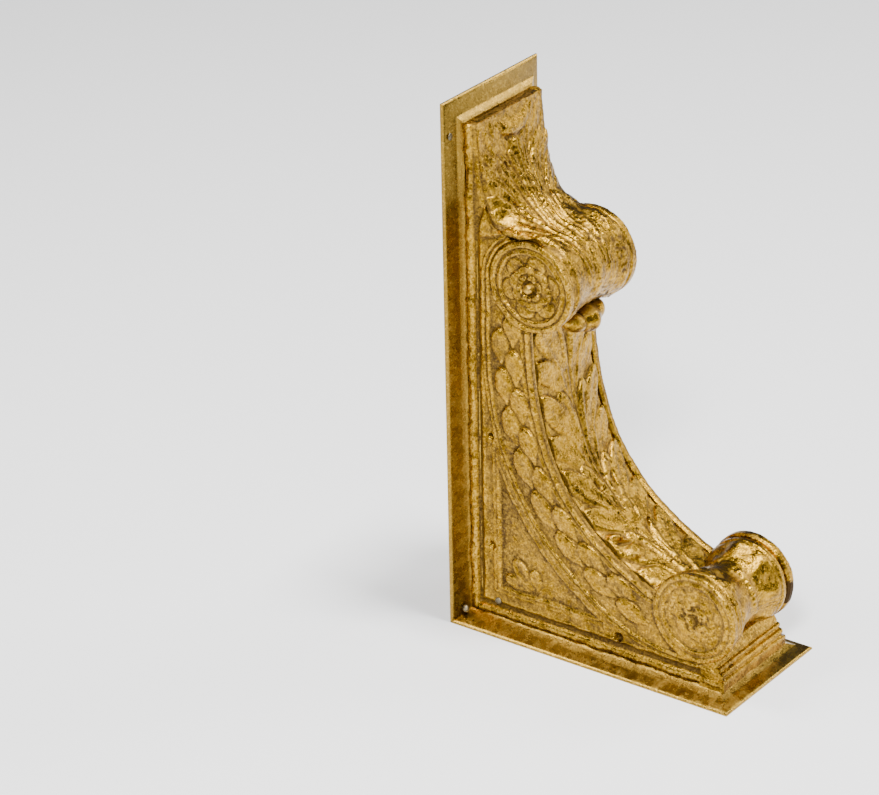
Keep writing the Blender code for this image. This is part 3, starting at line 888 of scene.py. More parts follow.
            relief.height += 0.6 - 0.6 * smooth((r - 10.0) / 5.0) - 1.1 * rough
            relief.soil_and_shade += 0.45 * rough
            return
        boss = 1.2 - 1.2 * bell(r, 5.3, 0.9) + 2.9 * arch(r, 0.0, 4.6)
        relief.height = np.where(r < 7.0, np.maximum(boss * wear, 0.2), relief.height)

    def carve(self, relief: Relief) -> None:
        """All of the flank's carving.

        Args:
            relief: The field.
        """
        lay = self.layout
        s, w = lay.rim.nearest(relief.a, relief.b)
        _, ridge_w = lay.ridge.nearest(relief.a, relief.b)
        self.spandrel(relief, ridge_w)
        self.band(relief, s, w, ridge_w)
        stains = np.clip(grain(relief.a.shape, 14, 71 + self.flank.value), -1.0, 1.6)
        relief.soil_and_shade += 0.28 + 0.14 * stains
        self.mouldings(relief)
        self.wing(relief)
        self.rosette(relief, *self.lower_disc(), 0.65)
        relief.wear(2.0, 0.85)
        self.rosette(relief, lay.upper, lay.upper_radius, 1.45)
        seed = 11 if self.flank is Flank.LEFT else 12
        shape = relief.height.shape
        relief.height += 0.26 * grain(shape, 5, seed) + 0.15 * grain(shape, 1, seed + 2)
        if self.flank is Flank.LEFT:
            for d, z, radius in self.holes:
                r = np.hypot(relief.a - d, relief.b - z) / radius
                relief.height -= 7.0 * smooth((1.15 - r) / 0.35)
                # painted shade: the insides of the screw holes are darkened to a near-black brown
                relief.soil_and_shade += 2.0 * smooth((1.3 - r) / 0.4)

    def build(self) -> bpy.types.Object:
        """The flank as a closed slab with a carved face.

        Returns:
            The piece.
        """
        lay = self.layout
        side = self.flank.value
        relief = Relief(np.arange(self.first, 261.0, self.cell),
                        np.arange(self.first, lay.panel_top + 0.01, self.cell))
        relief.b += lay.panel_top - relief.b.max()
        outside = self.distance(relief.a, relief.b)
        self.carve(relief)
        soft = np.clip(outside + 2.6, 0.0, 2.6) / 2.6
        relief.height -= 1.1 * soft * soft
        rows, columns = relief.height.shape
        piece, index = start_grid(f"{self.flank.name.lower()}_flank", columns, rows)
        slope_b, slope_a = np.gradient(outside, self.cell)
        size = np.hypot(slope_a, slope_b) + 1e-6
        slope_a, slope_b = slope_a / size, slope_b / size
        middle = (outside[:-1, :-1] + outside[1:, :-1] + outside[:-1, 1:] + outside[1:, 1:]) / 4.0
        points = metres(side * (lay.body_half + relief.height), relief.a, relief.b).reshape(-1, 3)[index]
        place_points(piece, points)
        store(piece, relief.cavity(3.0).ravel()[index])
        normals = metres(0.0, slope_a, slope_b).reshape(-1, 3)[index] / MM
        normals[:, 1] -= HALF_DEPTH
        attribute = piece.data.attributes.new("rim_way", "FLOAT_VECTOR", "POINT")
        attribute.data.foreach_set("vector", normals.astype(np.float32).ravel())
        gaps = piece.data.attributes.new("rim_gap", "FLOAT", "POINT")
        gaps.data.foreach_set("value", outside.ravel()[index].astype(np.float32))
        self.trim(piece, middle, columns)
        self.snap(piece)
        draw_back(piece, 0, side * (lay.cheek_inside + 2.0) * MM)
        draw_back(piece, 0, side * lay.cheek_inside * MM, self.draw_in)
        close_off(piece)
        if self.flank is Flank.RIGHT:
            self.chip(piece)
        for name in ("rim_way", "rim_gap"):
            piece.data.attributes.remove(piece.data.attributes[name])
        return piece

    def chip(self, piece: bpy.types.Object) -> None:
        """Bare brown patch on the edge of the lower disc.

        Args:
            piece: The flank.
        """
        points = points_of(piece) / MM
        gap = np.hypot(HALF_DEPTH - points[:, 1] - 254.0, (points[:, 2] - 59.0) * 0.8)
        gap = gap + 1.5 * np.sin(points[:, 0] * 2.1) + 1.0 * np.sin(points[:, 2] * 1.7 + points[:, 0])
        bare = (1.6 * smooth((8.0 - gap) / 1.5)).astype(np.float32)
        values = stored(piece, "cavity") + bare
        piece.data.attributes["cavity"].data.foreach_set("value", values)

    def trim(self, piece: bpy.types.Object, middle: Array, columns: int) -> None:
        """Delete the faces outside the silhouette.

        Args:
            piece: The sheet.
            middle: Distance outside the silhouette at each face's middle.
            columns: Points across the sheet.
        """
        centres = np.zeros(len(piece.data.polygons) * 3)
        piece.data.polygons.foreach_get("center", centres)
        centres = centres.reshape(-1, 3) / MM
        column = np.floor((HALF_DEPTH - centres[:, 1] - self.first) / self.cell).astype(int)
        top = self.layout.panel_top
        row = middle.shape[0] - 1 - np.floor((top - centres[:, 2]) / self.cell).astype(int)
        column = np.clip(column, 0, columns - 2)
        row = np.clip(row, 0, middle.shape[0] - 1)
        drop = middle[row, column] > 0.0
        take_up(piece)
        bpy.ops.object.mode_set(mode="EDIT")
        bpy.ops.mesh.select_mode(type="FACE")
        bpy.ops.mesh.select_all(action="DESELECT")
        bpy.ops.object.mode_set(mode="OBJECT")
        piece.data.polygons.foreach_set("select", drop)
        bpy.ops.object.mode_set(mode="EDIT")
        bpy.ops.mesh.delete(type="FACE")
        bpy.ops.object.mode_set(mode="OBJECT")

    def snap(self, piece: bpy.types.Object) -> None:
        """Move the border onto the silhouette.

        Args:
            piece: The sheet.
        """
        select_border(piece)
        bpy.ops.object.mode_set(mode="OBJECT")
        edge = picked(piece)
        ways = np.zeros(len(piece.data.vertices) * 3, np.float32)
        piece.data.attributes["rim_way"].data.foreach_get("vector", ways)
        points = points_of(piece)
        points[edge] -= ways.reshape(-1, 3)[edge] * stored(piece, "rim_gap")[edge][:, None] * MM
        place_points(piece, points)

    def draw_in(self, points: Array) -> Array:
        """Move points of the border inwards from the silhouette by 1.5 mm.

        Args:
            points: World points, in metres.

        Returns:
            The moved points.
        """
        d = HALF_DEPTH - points[:, 1] / MM
        z = points[:, 2] / MM
        step = 0.4
        here = self.distance(d, z)
        slope = np.stack([self.distance(d + step, z) - here, self.distance(d, z + step) - here], axis=1)
        slope /= np.hypot(slope[:, 0], slope[:, 1])[:, None] + 1e-6
        points[:, 1] += 1.5 * slope[:, 0] * MM
        points[:, 2] -= 1.5 * slope[:, 1] * MM
        return points


@dataclass
class UpperLeaf:
    """Top panel with its acanthus, carried over the roll of the upper volute."""

    layout: Layout
    cell: float = 0.6
    panel_half: float = 43.6
    roll_half: float = 40.0
    # leaf lobes of one half: base, tip, half width, height, sideways bend
    lobes: tuple = (((5, 44), (9, 20), 5.5, 3.4, 1.0), ((9, 46), (19, 4.5), 5.2, 4.2, 1.5),
                    ((13, 46), (26, 4.0), 4.8, 4.2, 1.5), ((17, 46), (33, 9.5), 4.6, 4.2, 1.5),
                    ((8, 74), (21, 31), 5.6, 4.4, 1.5), ((11, 76), (28, 27), 5.6, 5.4, 2.0),
                    ((15, 77), (35, 26), 5.4, 5.6, 2.0), ((18, 78), (42, 32), 5.2, 5.4, 2.0),
                    ((14, 98), (38, 47), 6.4, 5.4, 1.5), ((15, 102), (41, 58), 6.2, 5.6, 1.5),
                    ((14, 110), (41, 68), 7.2, 6.2, 1.5), ((12, 122), (43, 84), 8.2, 6.0, 2.0),
                    ((9, 136), (43, 99), 9.0, 5.0, 3.0), ((8, 146), (43.5, 112), 8.5, 3.8, 3.0),
                    ((7, 158), (30, 128), 7.5, 2.2, 3.0))

    def carve(self, relief: Relief) -> None:
        """All of the leaf's carving.

        Args:
            relief: The field, across and along the panel.
        """
        x = relief.a
        s = relief.b
        body = smooth((s - 12.0) / 16.0) * (1.0 - smooth((s - 150.0) / 30.0))
        spine = bell(x, 0.0, 9.0 + 0.09 * s)
        relief.height += 0.3 + (2.4 + 2.0 * smooth((110.0 - s) / 40.0)) * body * spine
        for side in (-1.0, 1.0):
            for base, tip, half, rise, bend in self.lobes:
                relief.lobe((side * base[0], base[1]), (side * tip[0], tip[1]), half, rise, side * bend)
            for eye, turn in (((15.5, 43.0), 60.0), ((22.0, 74.0), 55.0)):
                relief.dome((side * eye[0], eye[1]), (5.5, 1.8), -4.0, side * -turn)
            for path in (((14.0, 50.0), (10.0, 66.0), (7.5, 90.0), (6.5, 124.0)),
                         ((20.5, 81.0), (15.0, 98.0), (11.0, 124.0), (10.0, 150.0)),
                         ((34.0, 92.0), (24.0, 112.0), (17.0, 134.0), (14.0, 158.0)),
                         ((10.0, 34.0), (6.0, 50.0), (4.5, 80.0), (4.2, 118.0))):
                relief.line([(side * a, b) for a, b in path], 2.3, 2.4, (0.6, 0.8))
                relief.line([(side * (a + 3.0), b + 1.0) for a, b in path], 1.3, -1.2, (0.6, 0.9))
            relief.line([(side * 2.1, 24.0), (side * 2.1, 126.0)], 1.3, 1.3)
        relief.line([(0.0, 26.0), (0.0, 126.0)], 0.9, -0.8)
        self.lip(relief)
        self.roll(relief)

    def lip(self, relief: Relief) -> None:
        """Rolled-over tip at the top, lowest in the middle.

        Args:
            relief: The field.
        """
        taper = arch(relief.a, 0.0, 21.5)
        top = 7.0 - 3.0 * (1.0 - taper)
        low = 9.0 + 14.0 * taper
        share = np.clip((relief.b - top) / np.maximum(low - top, 0.5), 0.0, 1.0)
        roll = 7.6 * taper * np.sin(math.pi * share ** 1.5) ** 0.6
        relief.height = np.where(share < 1.0, np.maximum(relief.height, roll), relief.height)
        relief.line([(-19.0, 8.5), (-10.0, 15.5), (0.0, 18.0), (10.0, 15.5), (19.0, 8.5)], 0.9, -0.8)
        relief.height -= 1.4 * bell(relief.b - low, 1.2, 1.6) * taper

    def roll(self, relief: Relief) -> None:
        """Braided band on the roll, and the slots beside the discs.

        Args:
            relief: The field.
        """
        for step in range(12):
            relief.dome((0.0, 128.0 + 4.1 * step), (3.9, 2.3), 2.0)
            for side in (-1.0, 1.0):
                relief.dome((side * 2.9, 130.0 + 4.1 * step), (2.2, 1.5), 1.0, side * 35.0)
        for side in (-1.0, 1.0):
            relief.line([(side * 5.6, 120.0), (side * 5.2, 178.0)], 1.1, 1.0)
            relief.line([(side * 31.8, 128.0), (side * 31.8, 200.0)], 0.9, -0.7)
        limit = self.panel_half - 9.6 * smooth((relief.b - 110.0) / 18.0)
        sunk = smooth((np.abs(relief.a) - limit - 1.0) / 1.6) * smooth((relief.b - 100.0) / 8.0)
        relief.height = relief.height * (1.0 - sunk) - 3.0 * sunk

    def build(self) -> bpy.types.Object:
        """The leaf as a closed body.

        Returns:
            The piece.
        """
        lay = self.layout
        columns = int(2 * self.panel_half / self.cell)
        rows = int(lay.panel.length / self.cell)
        relief = Relief(np.linspace(-self.panel_half, self.panel_half, columns),
                        np.linspace(0.0, lay.panel.length, rows))
        self.carve(relief)
        shape = relief.height.shape
        crisp = relief.height.copy()
        relief.wear(6.0, 0.4)
        relief.height *= 1.0 - 0.85 * smooth((relief.a - 18.0) / 14.0) * smooth((relief.b - 84.0) / 14.0)
        keep = smooth((86.0 - np.abs(relief.b - 64.0) * 1.4 - np.abs(np.abs(relief.a) - 8.0) * 3.0) / 30.0)
        relief.height = relief.height * (1.0 - 0.75 * keep) + crisp * 0.75 * keep
        relief.height += 0.3 * grain(shape, 6, 21) + 0.15 * grain(shape, 1, 22)
        bare = smooth((relief.b - 118.0) / 10.0) * smooth((relief.a - 4.0) / 8.0)
        pitted = np.clip(grain(shape, 2, 23) + 0.7 * grain(shape, 7, 24) - 0.5, 0.0, 1.6)
        relief.height -= 0.35 * bare * pitted
        relief.soil_and_shade += 0.6 * bare * pitted + 0.3 * np.clip(grain(shape, 2, 25) - 1.1, 0.0, 1.0)
        soft = np.clip(np.abs(relief.a) - self.panel_half + 1.2, 0.0, 1.2) / 1.2
        relief.height -= 0.3 * soft
        narrow = 1.0 - (1.0 - self.roll_half / self.panel_half) * smooth((relief.b - 100.0) / 14.0)
        points = lay.on_panel(relief.a * narrow, relief.b, relief.height)
        return carved_sheet("upper_leaf", relief, points, 18.4)


@dataclass
class LeafStrip:
    """Front strip with four tiers of acanthus between the cheeks."""

    layout: Layout
    cell: float = 0.6
    tiers: tuple = (10.5, 74.0, 137.5, 201.0)
    # deep eye between two lobes, given as its distance into the tier
    eyes: tuple = (0.0, 0.0, 24.0, 0.0)
    # leaf lobes of one half of a tier: base, tip, half width, height, sideways bend
    lobes: tuple = (((4.0, 50), (13.0, 3.0), 7.6, 3.6, 1.5), ((7, 52), (29.5, -2.0), 9.6, 4.8, 3.5),
                    ((10, 66), (33, 33.0), 9.8, 3.6, 3.0))

    def carve(self, relief: Relief) -> None:
        """All of the strip's carving.

        Args:
            relief: The field, across and along the strip.
        """
        lay = self.layout
        length = lay.rim.length
        relief.height += 0.4
        for start, eye in zip(self.tiers, self.eyes):
            for side in (-1.0, 1.0):
                for base, tip, half, rise, bend in self.lobes:
                    low = min(start + base[1], length - 6.0)
                    if start + tip[1] > low - 12.0:
                        continue
                    relief.lobe((side * base[0], low), (side * tip[0], start + tip[1]), half, rise,
                                side * bend, scoop=0.2, root=0.6, crisp=1.8)
                inner = ((11.0, eye + 6.0), (7.0, eye + 24.0), (4.4, eye + 44.0))
                relief.line([(side * a, start + b) for a, b in inner], 2.0, 1.6, (0.4, 1.0))
                outer = ((22.0, 30.0), (13.0, 44.0), (6.6, 70.0))
                relief.line([(side * a, start + b) for a, b in outer], 1.6, 1.1, (0.3, 1.0))
                if eye > 0.0:
                    relief.dome((side * 9.2, start + eye), (4.8, 1.8), -4.5, side * -74.0)
        for side in (-1.0, 1.0):
            relief.line([(side * 2.6, 40.0), (side * 2.4, length)], 1.4, 1.5, (0.4, 1.0))
        relief.line([(0.0, 30.0), (0.0, 188.0)], 0.9, -0.7)
        for step in range(int((length - 192.0) / 3.2)):
            relief.dome((0.0, 190.0 + 3.2 * step), (1.7, 1.7), 1.5)
        relief.wear(3.0, 0.8)
        relief.dome((-26.5, 203.0), (7.0, 4.2), 3.4, 30.0)
        relief.dome((-24.0, 211.5), (7.5, 2.2), -2.6, 24.0)
        relief.dome((-22.0, 222.0), (9.0, 6.5), 2.4, 20.0)
        relief.height += 3.4 * (1.0 - (relief.a / lay.strip_half) ** 2) ** 1.2
        edge = np.clip((np.abs(relief.a) - lay.strip_half + 1.8) / 1.8, 0.0, 1.0)
        relief.height -= 1.3 * edge * edge

    def build(self) -> bpy.types.Object:
        """The strip as a closed body.

        Returns:
            The piece.
        """
        lay = self.layout
        columns = int(2 * lay.strip_half / self.cell)
        rows = int(lay.rim.length / self.cell)
        relief = Relief(np.linspace(-lay.strip_half, lay.strip_half, columns),
                        np.linspace(0.0, lay.rim.length, rows))
        self.carve(relief)
        shape = relief.height.shape
        relief.height += 0.18 * grain(shape, 6, 31) + 0.1 * grain(shape, 1, 32)
        points = lay.on_strip(relief.a * 1.1, relief.b, relief.height)
        return carved_sheet("leaf_strip", relief, points, 10.0)

    def floor(self) -> bpy.types.Object:
        """Floor of the two grooves beside the strip.

        Returns:
            The piece.
        """
        lay = self.layout
        relief = Relief(np.linspace(-41.0, 41.0, 3), np.linspace(0.0, lay.rim.length, 120))
        relief.cell = 1.0
        relief.height -= 2.2
        points = lay.on_strip(relief.a, relief.b, relief.height)
        # the 0.4 darkens the whole groove floor, painted shade deep in the grooves
        return carved_sheet("groove_floor", relief, points, 9.0, 0.4)


@dataclass
class LowerSpool:
    """Waisted barrel of the lower volute, with beads, rings and a leafy collar."""

    layout: Layout
    across: int = 130
    around: int = 330
    half: float = 40.0
    waist: float = 26.4
    flare: float = 8.6
    slot_radius: float = 32.6

    def carve(self, relief: Relief) -> None:
        """Carving of the barrel.

        Args:
            relief: The field, across in mm and round in degrees.
        """
        x = np.abs(relief.a)
        turn = relief.b
        for place, rise in ((30.6, 0.7), (28.4, -0.6)):
            relief.height += rise * bell(x, place, 0.8)
        for angle, rise in ((-8.0, 0.9), (-14.0, 0.9), (-20.0, 0.7)):
            relief.height += rise * bell(turn, angle, 1.5) * (x < 31.0)
        for index, size in enumerate((3.3, 3.1, 2.9, 2.7, 2.4, 2.2, 2.0)):
            angle = 62.0 - 10.5 * index
            gap = np.hypot(relief.a, (turn - angle) * 0.53)
            relief.height += size * arch(gap, 0.0, size * 1.15)
        for side in (-1.0, 1.0):
            relief.lobe((side * 6.0, 140.0), (side * 8.0, 106.0), 5.0, 1.0, crisp=3.0, undercut=0.0)
            relief.lobe((side * 18.0, 142.0), (side * 24.0, 116.0), 6.0, 1.0, crisp=3.0, undercut=0.0)
        swell = smooth((x - 7.0) / 12.0) * smooth((31.0 - x) / 8.0)
        relief.height += 1.5 * swell * np.cos(np.radians(8.0 * (turn - 52.0))) * smooth((turn + 60.0) / 30.0)
        relief.height += 0.8 * bell(x, 2.0, 3.2) * smooth((75.0 - np.abs(turn - 25.0)) / 20.0)

    def build(self) -> bpy.types.Object:
        """The barrel as a closed body.

        Returns:
            The piece.
        """
        relief = Relief(np.linspace(-self.half, self.half, self.across),
                        np.linspace(-180.0, 180.0, self.around))
        self.carve(relief)
        shape = relief.height.shape
        relief.wear(1.4, 0.8)
        relief.height += 0.16 * grain(shape, 5, 41) + 0.1 * grain(shape, 1, 42)
        relief.height[-1] = relief.height[0]
        x = np.abs(relief.a)
        slot = smooth((x - 34.8) / 0.9)
        radius = self.waist + self.flare * smooth(x / 33.0) ** 0.9 + relief.height * (1.0 - slot)
        radius = radius * (1.0 - slot) + self.slot_radius * slot
        angle = np.radians(relief.b)
        d, z = self.layout.spool
        points = metres(relief.a, d + radius * np.cos(angle), z + radius * np.sin(angle))
        rows, columns = shape
        piece, index = start_grid("lower_spool", columns, rows)
        place_points(piece, points.reshape(-1, 3)[index])
        store(piece, relief.cavity(2.5).ravel()[index])
        take_up(piece)
        bpy.ops.object.mode_set(mode="EDIT")
        bpy.ops.mesh.select_all(action="SELECT")
        bpy.ops.mesh.remove_doubles(threshold=0.01 * MM)
        select_border(piece)
        bpy.ops.mesh.fill_holes(sides=0)
        face_outwards(piece)
        return piece


@dataclass
class FootBlock:
    """Humped block under the lower spool with its small mouldings."""

    layout: Layout
    half: float = 47.2
    # side view of the front from the hump down
    profile: tuple = ((229.0, 40.5), (234.0, 39.4), (238.0, 36.6), (242.0, 29.6), (242.4, 27.4),
                      (244.9, 26.9), (245.2, 24.8), (244.0, 23.6), (244.2, 22.8), (247.0, 22.2),
                      (248.0, 20.8), (247.8, 19.2), (246.6, 18.2), (246.8, 17.2), (249.2, 16.4),
                      (249.6, 14.6), (249.4, 8.0))

    def build(self) -> bpy.types.Object:
        """The block as a closed body.

        Returns:
            The piece.
        """
        track = Track(np.array(self.profile), 0.5)
        relief = Relief(np.linspace(-self.half, self.half, 150), np.linspace(0.0, track.length, 110))
        relief.cell = 0.6
        d, z, out_d, out_z = track.at(relief.b)
        hump = 0.94 + 0.06 * np.abs(np.sin(math.pi * np.clip(relief.a, -33.0, 33.0) / 33.0)) ** 0.8
        high = np.clip((z - 22.5) / 15.5, 0.0, 1.0)
        z = z - high * 15.5 * (1.0 - hump)
        d = d - 4.0 * high * (1.0 - hump)
        across = relief.a * (1.0 - 0.05 * smooth((z - 16.2) / 0.6))
        wide = np.clip((np.abs(relief.a) - 45.8) / 1.4, 0.0, 1.0)
        d = d - 0.8 * wide * wide
        relief.height += 0.15 * grain(relief.height.shape, 6, 51)
        points = metres(across, d + out_d * relief.height, z + out_z * relief.height)
        # the hump is raised in the cavity field only, so it comes out paler than the steps below it, and
        # they come out darker with dirt and painted shade
        relief.height += 0.8 * high * hump
        return carved_sheet("foot_block", relief, points, 228.0)


@dataclass
class SmallParts:
    """Core and ridge of the top panel, the curled tip under the roll, and the filled holes."""

    layout: Layout

    def core(self) -> bpy.types.Object:
        """Block that carries the top panel, with softened edges.

        Returns:
            The piece.
        """
        lay = self.layout
        deselect()
        bpy.ops.mesh.primitive_cube_add(size=1.0)
        piece = bpy.context.object
        piece.name = "panel_core"
        corner = np.sign(points_of(piece))
        place_points(piece, metres(corner[:, 0] * 43.3, 12.3 - 6.3 * corner[:, 1],
                                   np.where(corner[:, 2] > 0, lay.panel_top - 0.2, 6.0)))
        bpy.ops.object.mode_set(mode="EDIT")
        bpy.ops.mesh.select_all(action="SELECT")
        bpy.ops.mesh.bevel(offset=0.6 * MM, segments=2)
        face_outwards(piece)
        return piece

    def ridge_top(self) -> bpy.types.Object:
        """Ridge that runs across the top of the panel beside the wall plate.

        Returns:
            The piece.
        """
        deselect()
        bpy.ops.mesh.primitive_cylinder_add(vertices=20, radius=1.0, depth=2.0)
        piece = bpy.context.object
        piece.name = "top_ridge"
        shape = points_of(piece)
        rise = self.layout.panel_top - 2.0 + shape[:, 1] * 2.0
        place_points(piece, metres(shape[:, 2] * 46.4, 13.9 + shape[:, 0] * 2.6, rise))
        face_outwards(piece)
        return piece

    def plug(self, name: str, spot: tuple, radii: tuple) -> bpy.types.Object:
        """Filled screw hole, a low round dab of grey filler.

        Args:
            name: Name of the piece.
            spot: Its middle: across, out from the wall, and up.
            radii: Half sizes in the same order.

        Returns:
            The piece.
        """
        deselect()
        bpy.ops.mesh.primitive_uv_sphere_add(segments=24, ring_count=16, radius=1.0)
        piece = bpy.context.object
        piece.name = name
        place_points(piece, metres(*(np.array(spot) + points_of(piece) * np.array(radii)).T))
        face_outwards(piece)
        return piece

    def curl(self) -> bpy.types.Object:
        """Fat curled tip of the upper leaf, bowed and furrowed.

        Returns:
            The piece.
        """
        lay = self.layout
        deselect()
        bpy.ops.mesh.primitive_uv_sphere_add(segments=160, ring_count=90, radius=1.0)
        piece = bpy.context.object
        piece.name = "curled_tip"
        ball = points_of(piece)
        x = ball[:, 2]
        angle = np.arctan2(ball[:, 1], ball[:, 0])
        fat = np.hypot(ball[:, 0], ball[:, 1])
        crease = bell(x, -0.36, 0.05)
        furrow = 0.14 * np.cos(x * 7.4 - 0.5) * (1.0 - x * x) - 0.1 * crease
        reach = fat * (1.0 + furrow)
        bow = 4.5 * x * x
        d = lay.upper[0] + 18.5 - 2.0 * x * x + 12.6 * reach * np.cos(angle)
        z = lay.upper[1] - 38.0 + bow + 10.0 * reach * np.sin(angle)
        place_points(piece, metres(25.0 * x, d, z))
        # painted shade: darker along the crease and over the top of the curl, where it tucks under the roll
        store(piece, 0.5 * crease + 0.5 * smooth((ball[:, 1] - 0.45) / 0.4) - 0.1)
        face_outwards(piece)
        return piece


def linear(code: str) -> tuple[float, float, float, float]:
    """Linear colour of an sRGB hex code.

    Args:
        code: Six hex digits after a hash.

    Returns:
        Red, green, blue and alpha.
    """
    parts = [int(code[index:index + 2], 16) / 255.0 for index in (1, 3, 5)]
    values = [part / 12.92 if part <= 0.04045 else ((part + 0.055) / 1.055) ** 2.4 for part in parts]
    return (*values, 1.0)


def add_node(tree: bpy.types.NodeTree, kind: str, inputs: dict | None = None, **settings) -> bpy.types.Node:
    """Add a node with its settings and links.

    Args:
        tree: The node tree.
        kind: Type of the node.
        inputs: A value or an output socket for each input.
        settings: Options of the node.

    Returns:
        The node.
    """
    made = tree.nodes.new(kind)
    for key, value in settings.items():
        setattr(made, key, value)
    for key, value in (inputs or {}).items():
        if isinstance(value, bpy.types.NodeSocket):
            tree.links.new(value, made.inputs[key])
        else:
            made.inputs[key].default_value = value
    return made


@dataclass(frozen=True)
class RadiatorGold:
    """Bronze-powder radiator paint brushed over sand-cast iron.

    The lacquer holds fine metal flakes, so it shines softly and not like gilding. It lies over the pits of
    the casting. Pale flecks and edges stand partly for paint rubbed pale and partly for painted glints, dark
    brown in the hollows stands for grime and painted shade, and rust sits in some pits.
    """

    name: str = "gold_radiator_paint_on_cast_iron"
    light: str = "#B68A1C"
    deep: str = "#64480A"
    # pale colour for paint rubbed pale on edges and for painted glints where flakes catch the light
    worn_and_glint: str = "#EBC468"
    # dark colour for dirt and for painted shade in the hollows
    grime_and_shade: str = "#2C1B06"
    rust: str = "#3A1E0C"
    roughness: Pair = (0.2, 0.36)
    pit_share: float = 0.75
    grime_and_shade_start: float = 0.12
    bump: float = 1.0
    tones: Pair = (1.02, 1.38)

    def make(self) -> bpy.types.Material:
        """Build the material.

        Returns:
            The material.
        """
        material = bpy.data.materials.new(self.name)
        material.use_nodes = True
        tree = material.node_tree
        tree.nodes.clear()
        where = add_node(tree, "ShaderNodeTexCoord").outputs["Object"]
        hollow = add_node(tree, "ShaderNodeAttribute", attribute_name="cavity").outputs["Fac"]
        # brush strokes and thin places of the paint are about 50 mm and 8 mm across
        cloud = add_node(tree, "ShaderNodeTexNoise", {"Vector": where, "Scale": 20.0,
                                                      "Detail": 3.0}).outputs["Fac"]
        patch = add_node(tree, "ShaderNodeTexNoise", {"Vector": where, "Scale": 125.0, "Detail": 5.0,
                                                      "Roughness": 0.62}).outputs["Fac"]
        # flakes and casting grain of about 1.6 mm, coarser than the real 0.3 mm so that they show
        fine = add_node(tree, "ShaderNodeTexNoise", {"Vector": where, "Scale": 620.0, "Detail": 4.0,
                                                     "Roughness": 0.65}).outputs["Fac"]
        # sand pits about 4 mm apart
        cells = add_node(tree, "ShaderNodeTexVoronoi", {"Vector": where, "Scale": 260.0,
                                                        "Randomness": 1.0}).outputs["Distance"]
        tone = add_node(tree, "ShaderNodeMath", {0: cloud, 1: 0.5, 2: patch},
                        operation="MULTIPLY_ADD").outputs[0]
        tone = add_node(tree, "ShaderNodeMath", {0: fine, 1: 0.9, 2: tone},
                        operation="MULTIPLY_ADD").outputs[0]
        tone = add_node(tree, "ShaderNodeMapRange", {"Value": tone, "From Min": self.tones[0],
                                                     "From Max": self.tones[1]}).outputs[0]
        base = add_node(tree, "ShaderNodeMix", {0: tone, 6: linear(self.deep), 7: linear(self.light)},
                        data_type="RGBA").outputs[2]
        # painted glints: pale flecks stand in for flakes that catch the light, more of them on raised edges
        # and in thick drifts; on raised edges they also stand for paint rubbed pale
        drift = add_node(tree, "ShaderNodeMath", {0: patch, 1: 0.35, 2: fine},
                         operation="MULTIPLY_ADD").outputs[0]
        edge = add_node(tree, "ShaderNodeMath", {0: hollow, 1: -0.1, 2: drift},
                        operation="MULTIPLY_ADD").outputs[0]
        edge = add_node(tree, "ShaderNodeMapRange", {"Value": edge, "From Min": 0.7, "From Max": 0.92,
                                                     "To Max": 0.42}).outputs[0]
        base = add_node(tree, "ShaderNodeMix", {0: edge, 6: base, 7: linear(self.worn_and_glint)},
                        data_type="RGBA").outputs[2]
        # dirt and painted shade lie in the hollows, with a broken edge
        uneven = add_node(tree, "ShaderNodeMath", {0: patch, 1: 1.1, 2: -0.55},
                          operation="MULTIPLY_ADD").outputs[0]
        speck = add_node(tree, "ShaderNodeMath", {0: fine, 1: -0.9, 2: 0.45},
                         operation="MULTIPLY_ADD").outputs[0]
        uneven = add_node(tree, "ShaderNodeMath", {0: uneven, 1: speck}, operation="ADD").outputs[0]
        depth = add_node(tree, "ShaderNodeMath", {0: hollow, 1: uneven}, operation="ADD").outputs[0]
        dirt_and_shade = add_node(tree, "ShaderNodeMapRange", {"Value": depth, "From Min": self.grime_and_shade_start,
                                                     "From Max": self.grime_and_shade_start + 0.75,
                                                     "To Max": 0.94}).outputs[0]
        base = add_node(tree, "ShaderNodeMix", {0: dirt_and_shade, 6: base, 7: linear(self.grime_and_shade)},
                        data_type="RGBA").outputs[2]
        # rust shows in some of the pits
        pit = add_node(tree, "ShaderNodeMapRange", {"Value": cells, "From Min": 0.16, "From Max": 0.3,
                                                    "To Min": 1.0, "To Max": 0.0}).outputs[0]
        some = add_node(tree, "ShaderNodeMapRange", {"Value": patch, "From Min": 0.55, "From Max": 0.66,
                                                     "To Max": self.pit_share}).outputs[0]
        pit = add_node(tree, "ShaderNodeMath", {0: pit, 1: some}, operation="MULTIPLY").outputs[0]
        base = add_node(tree, "ShaderNodeMix", {0: pit, 6: base, 7: linear(self.rust)},
                        data_type="RGBA").outputs[2]
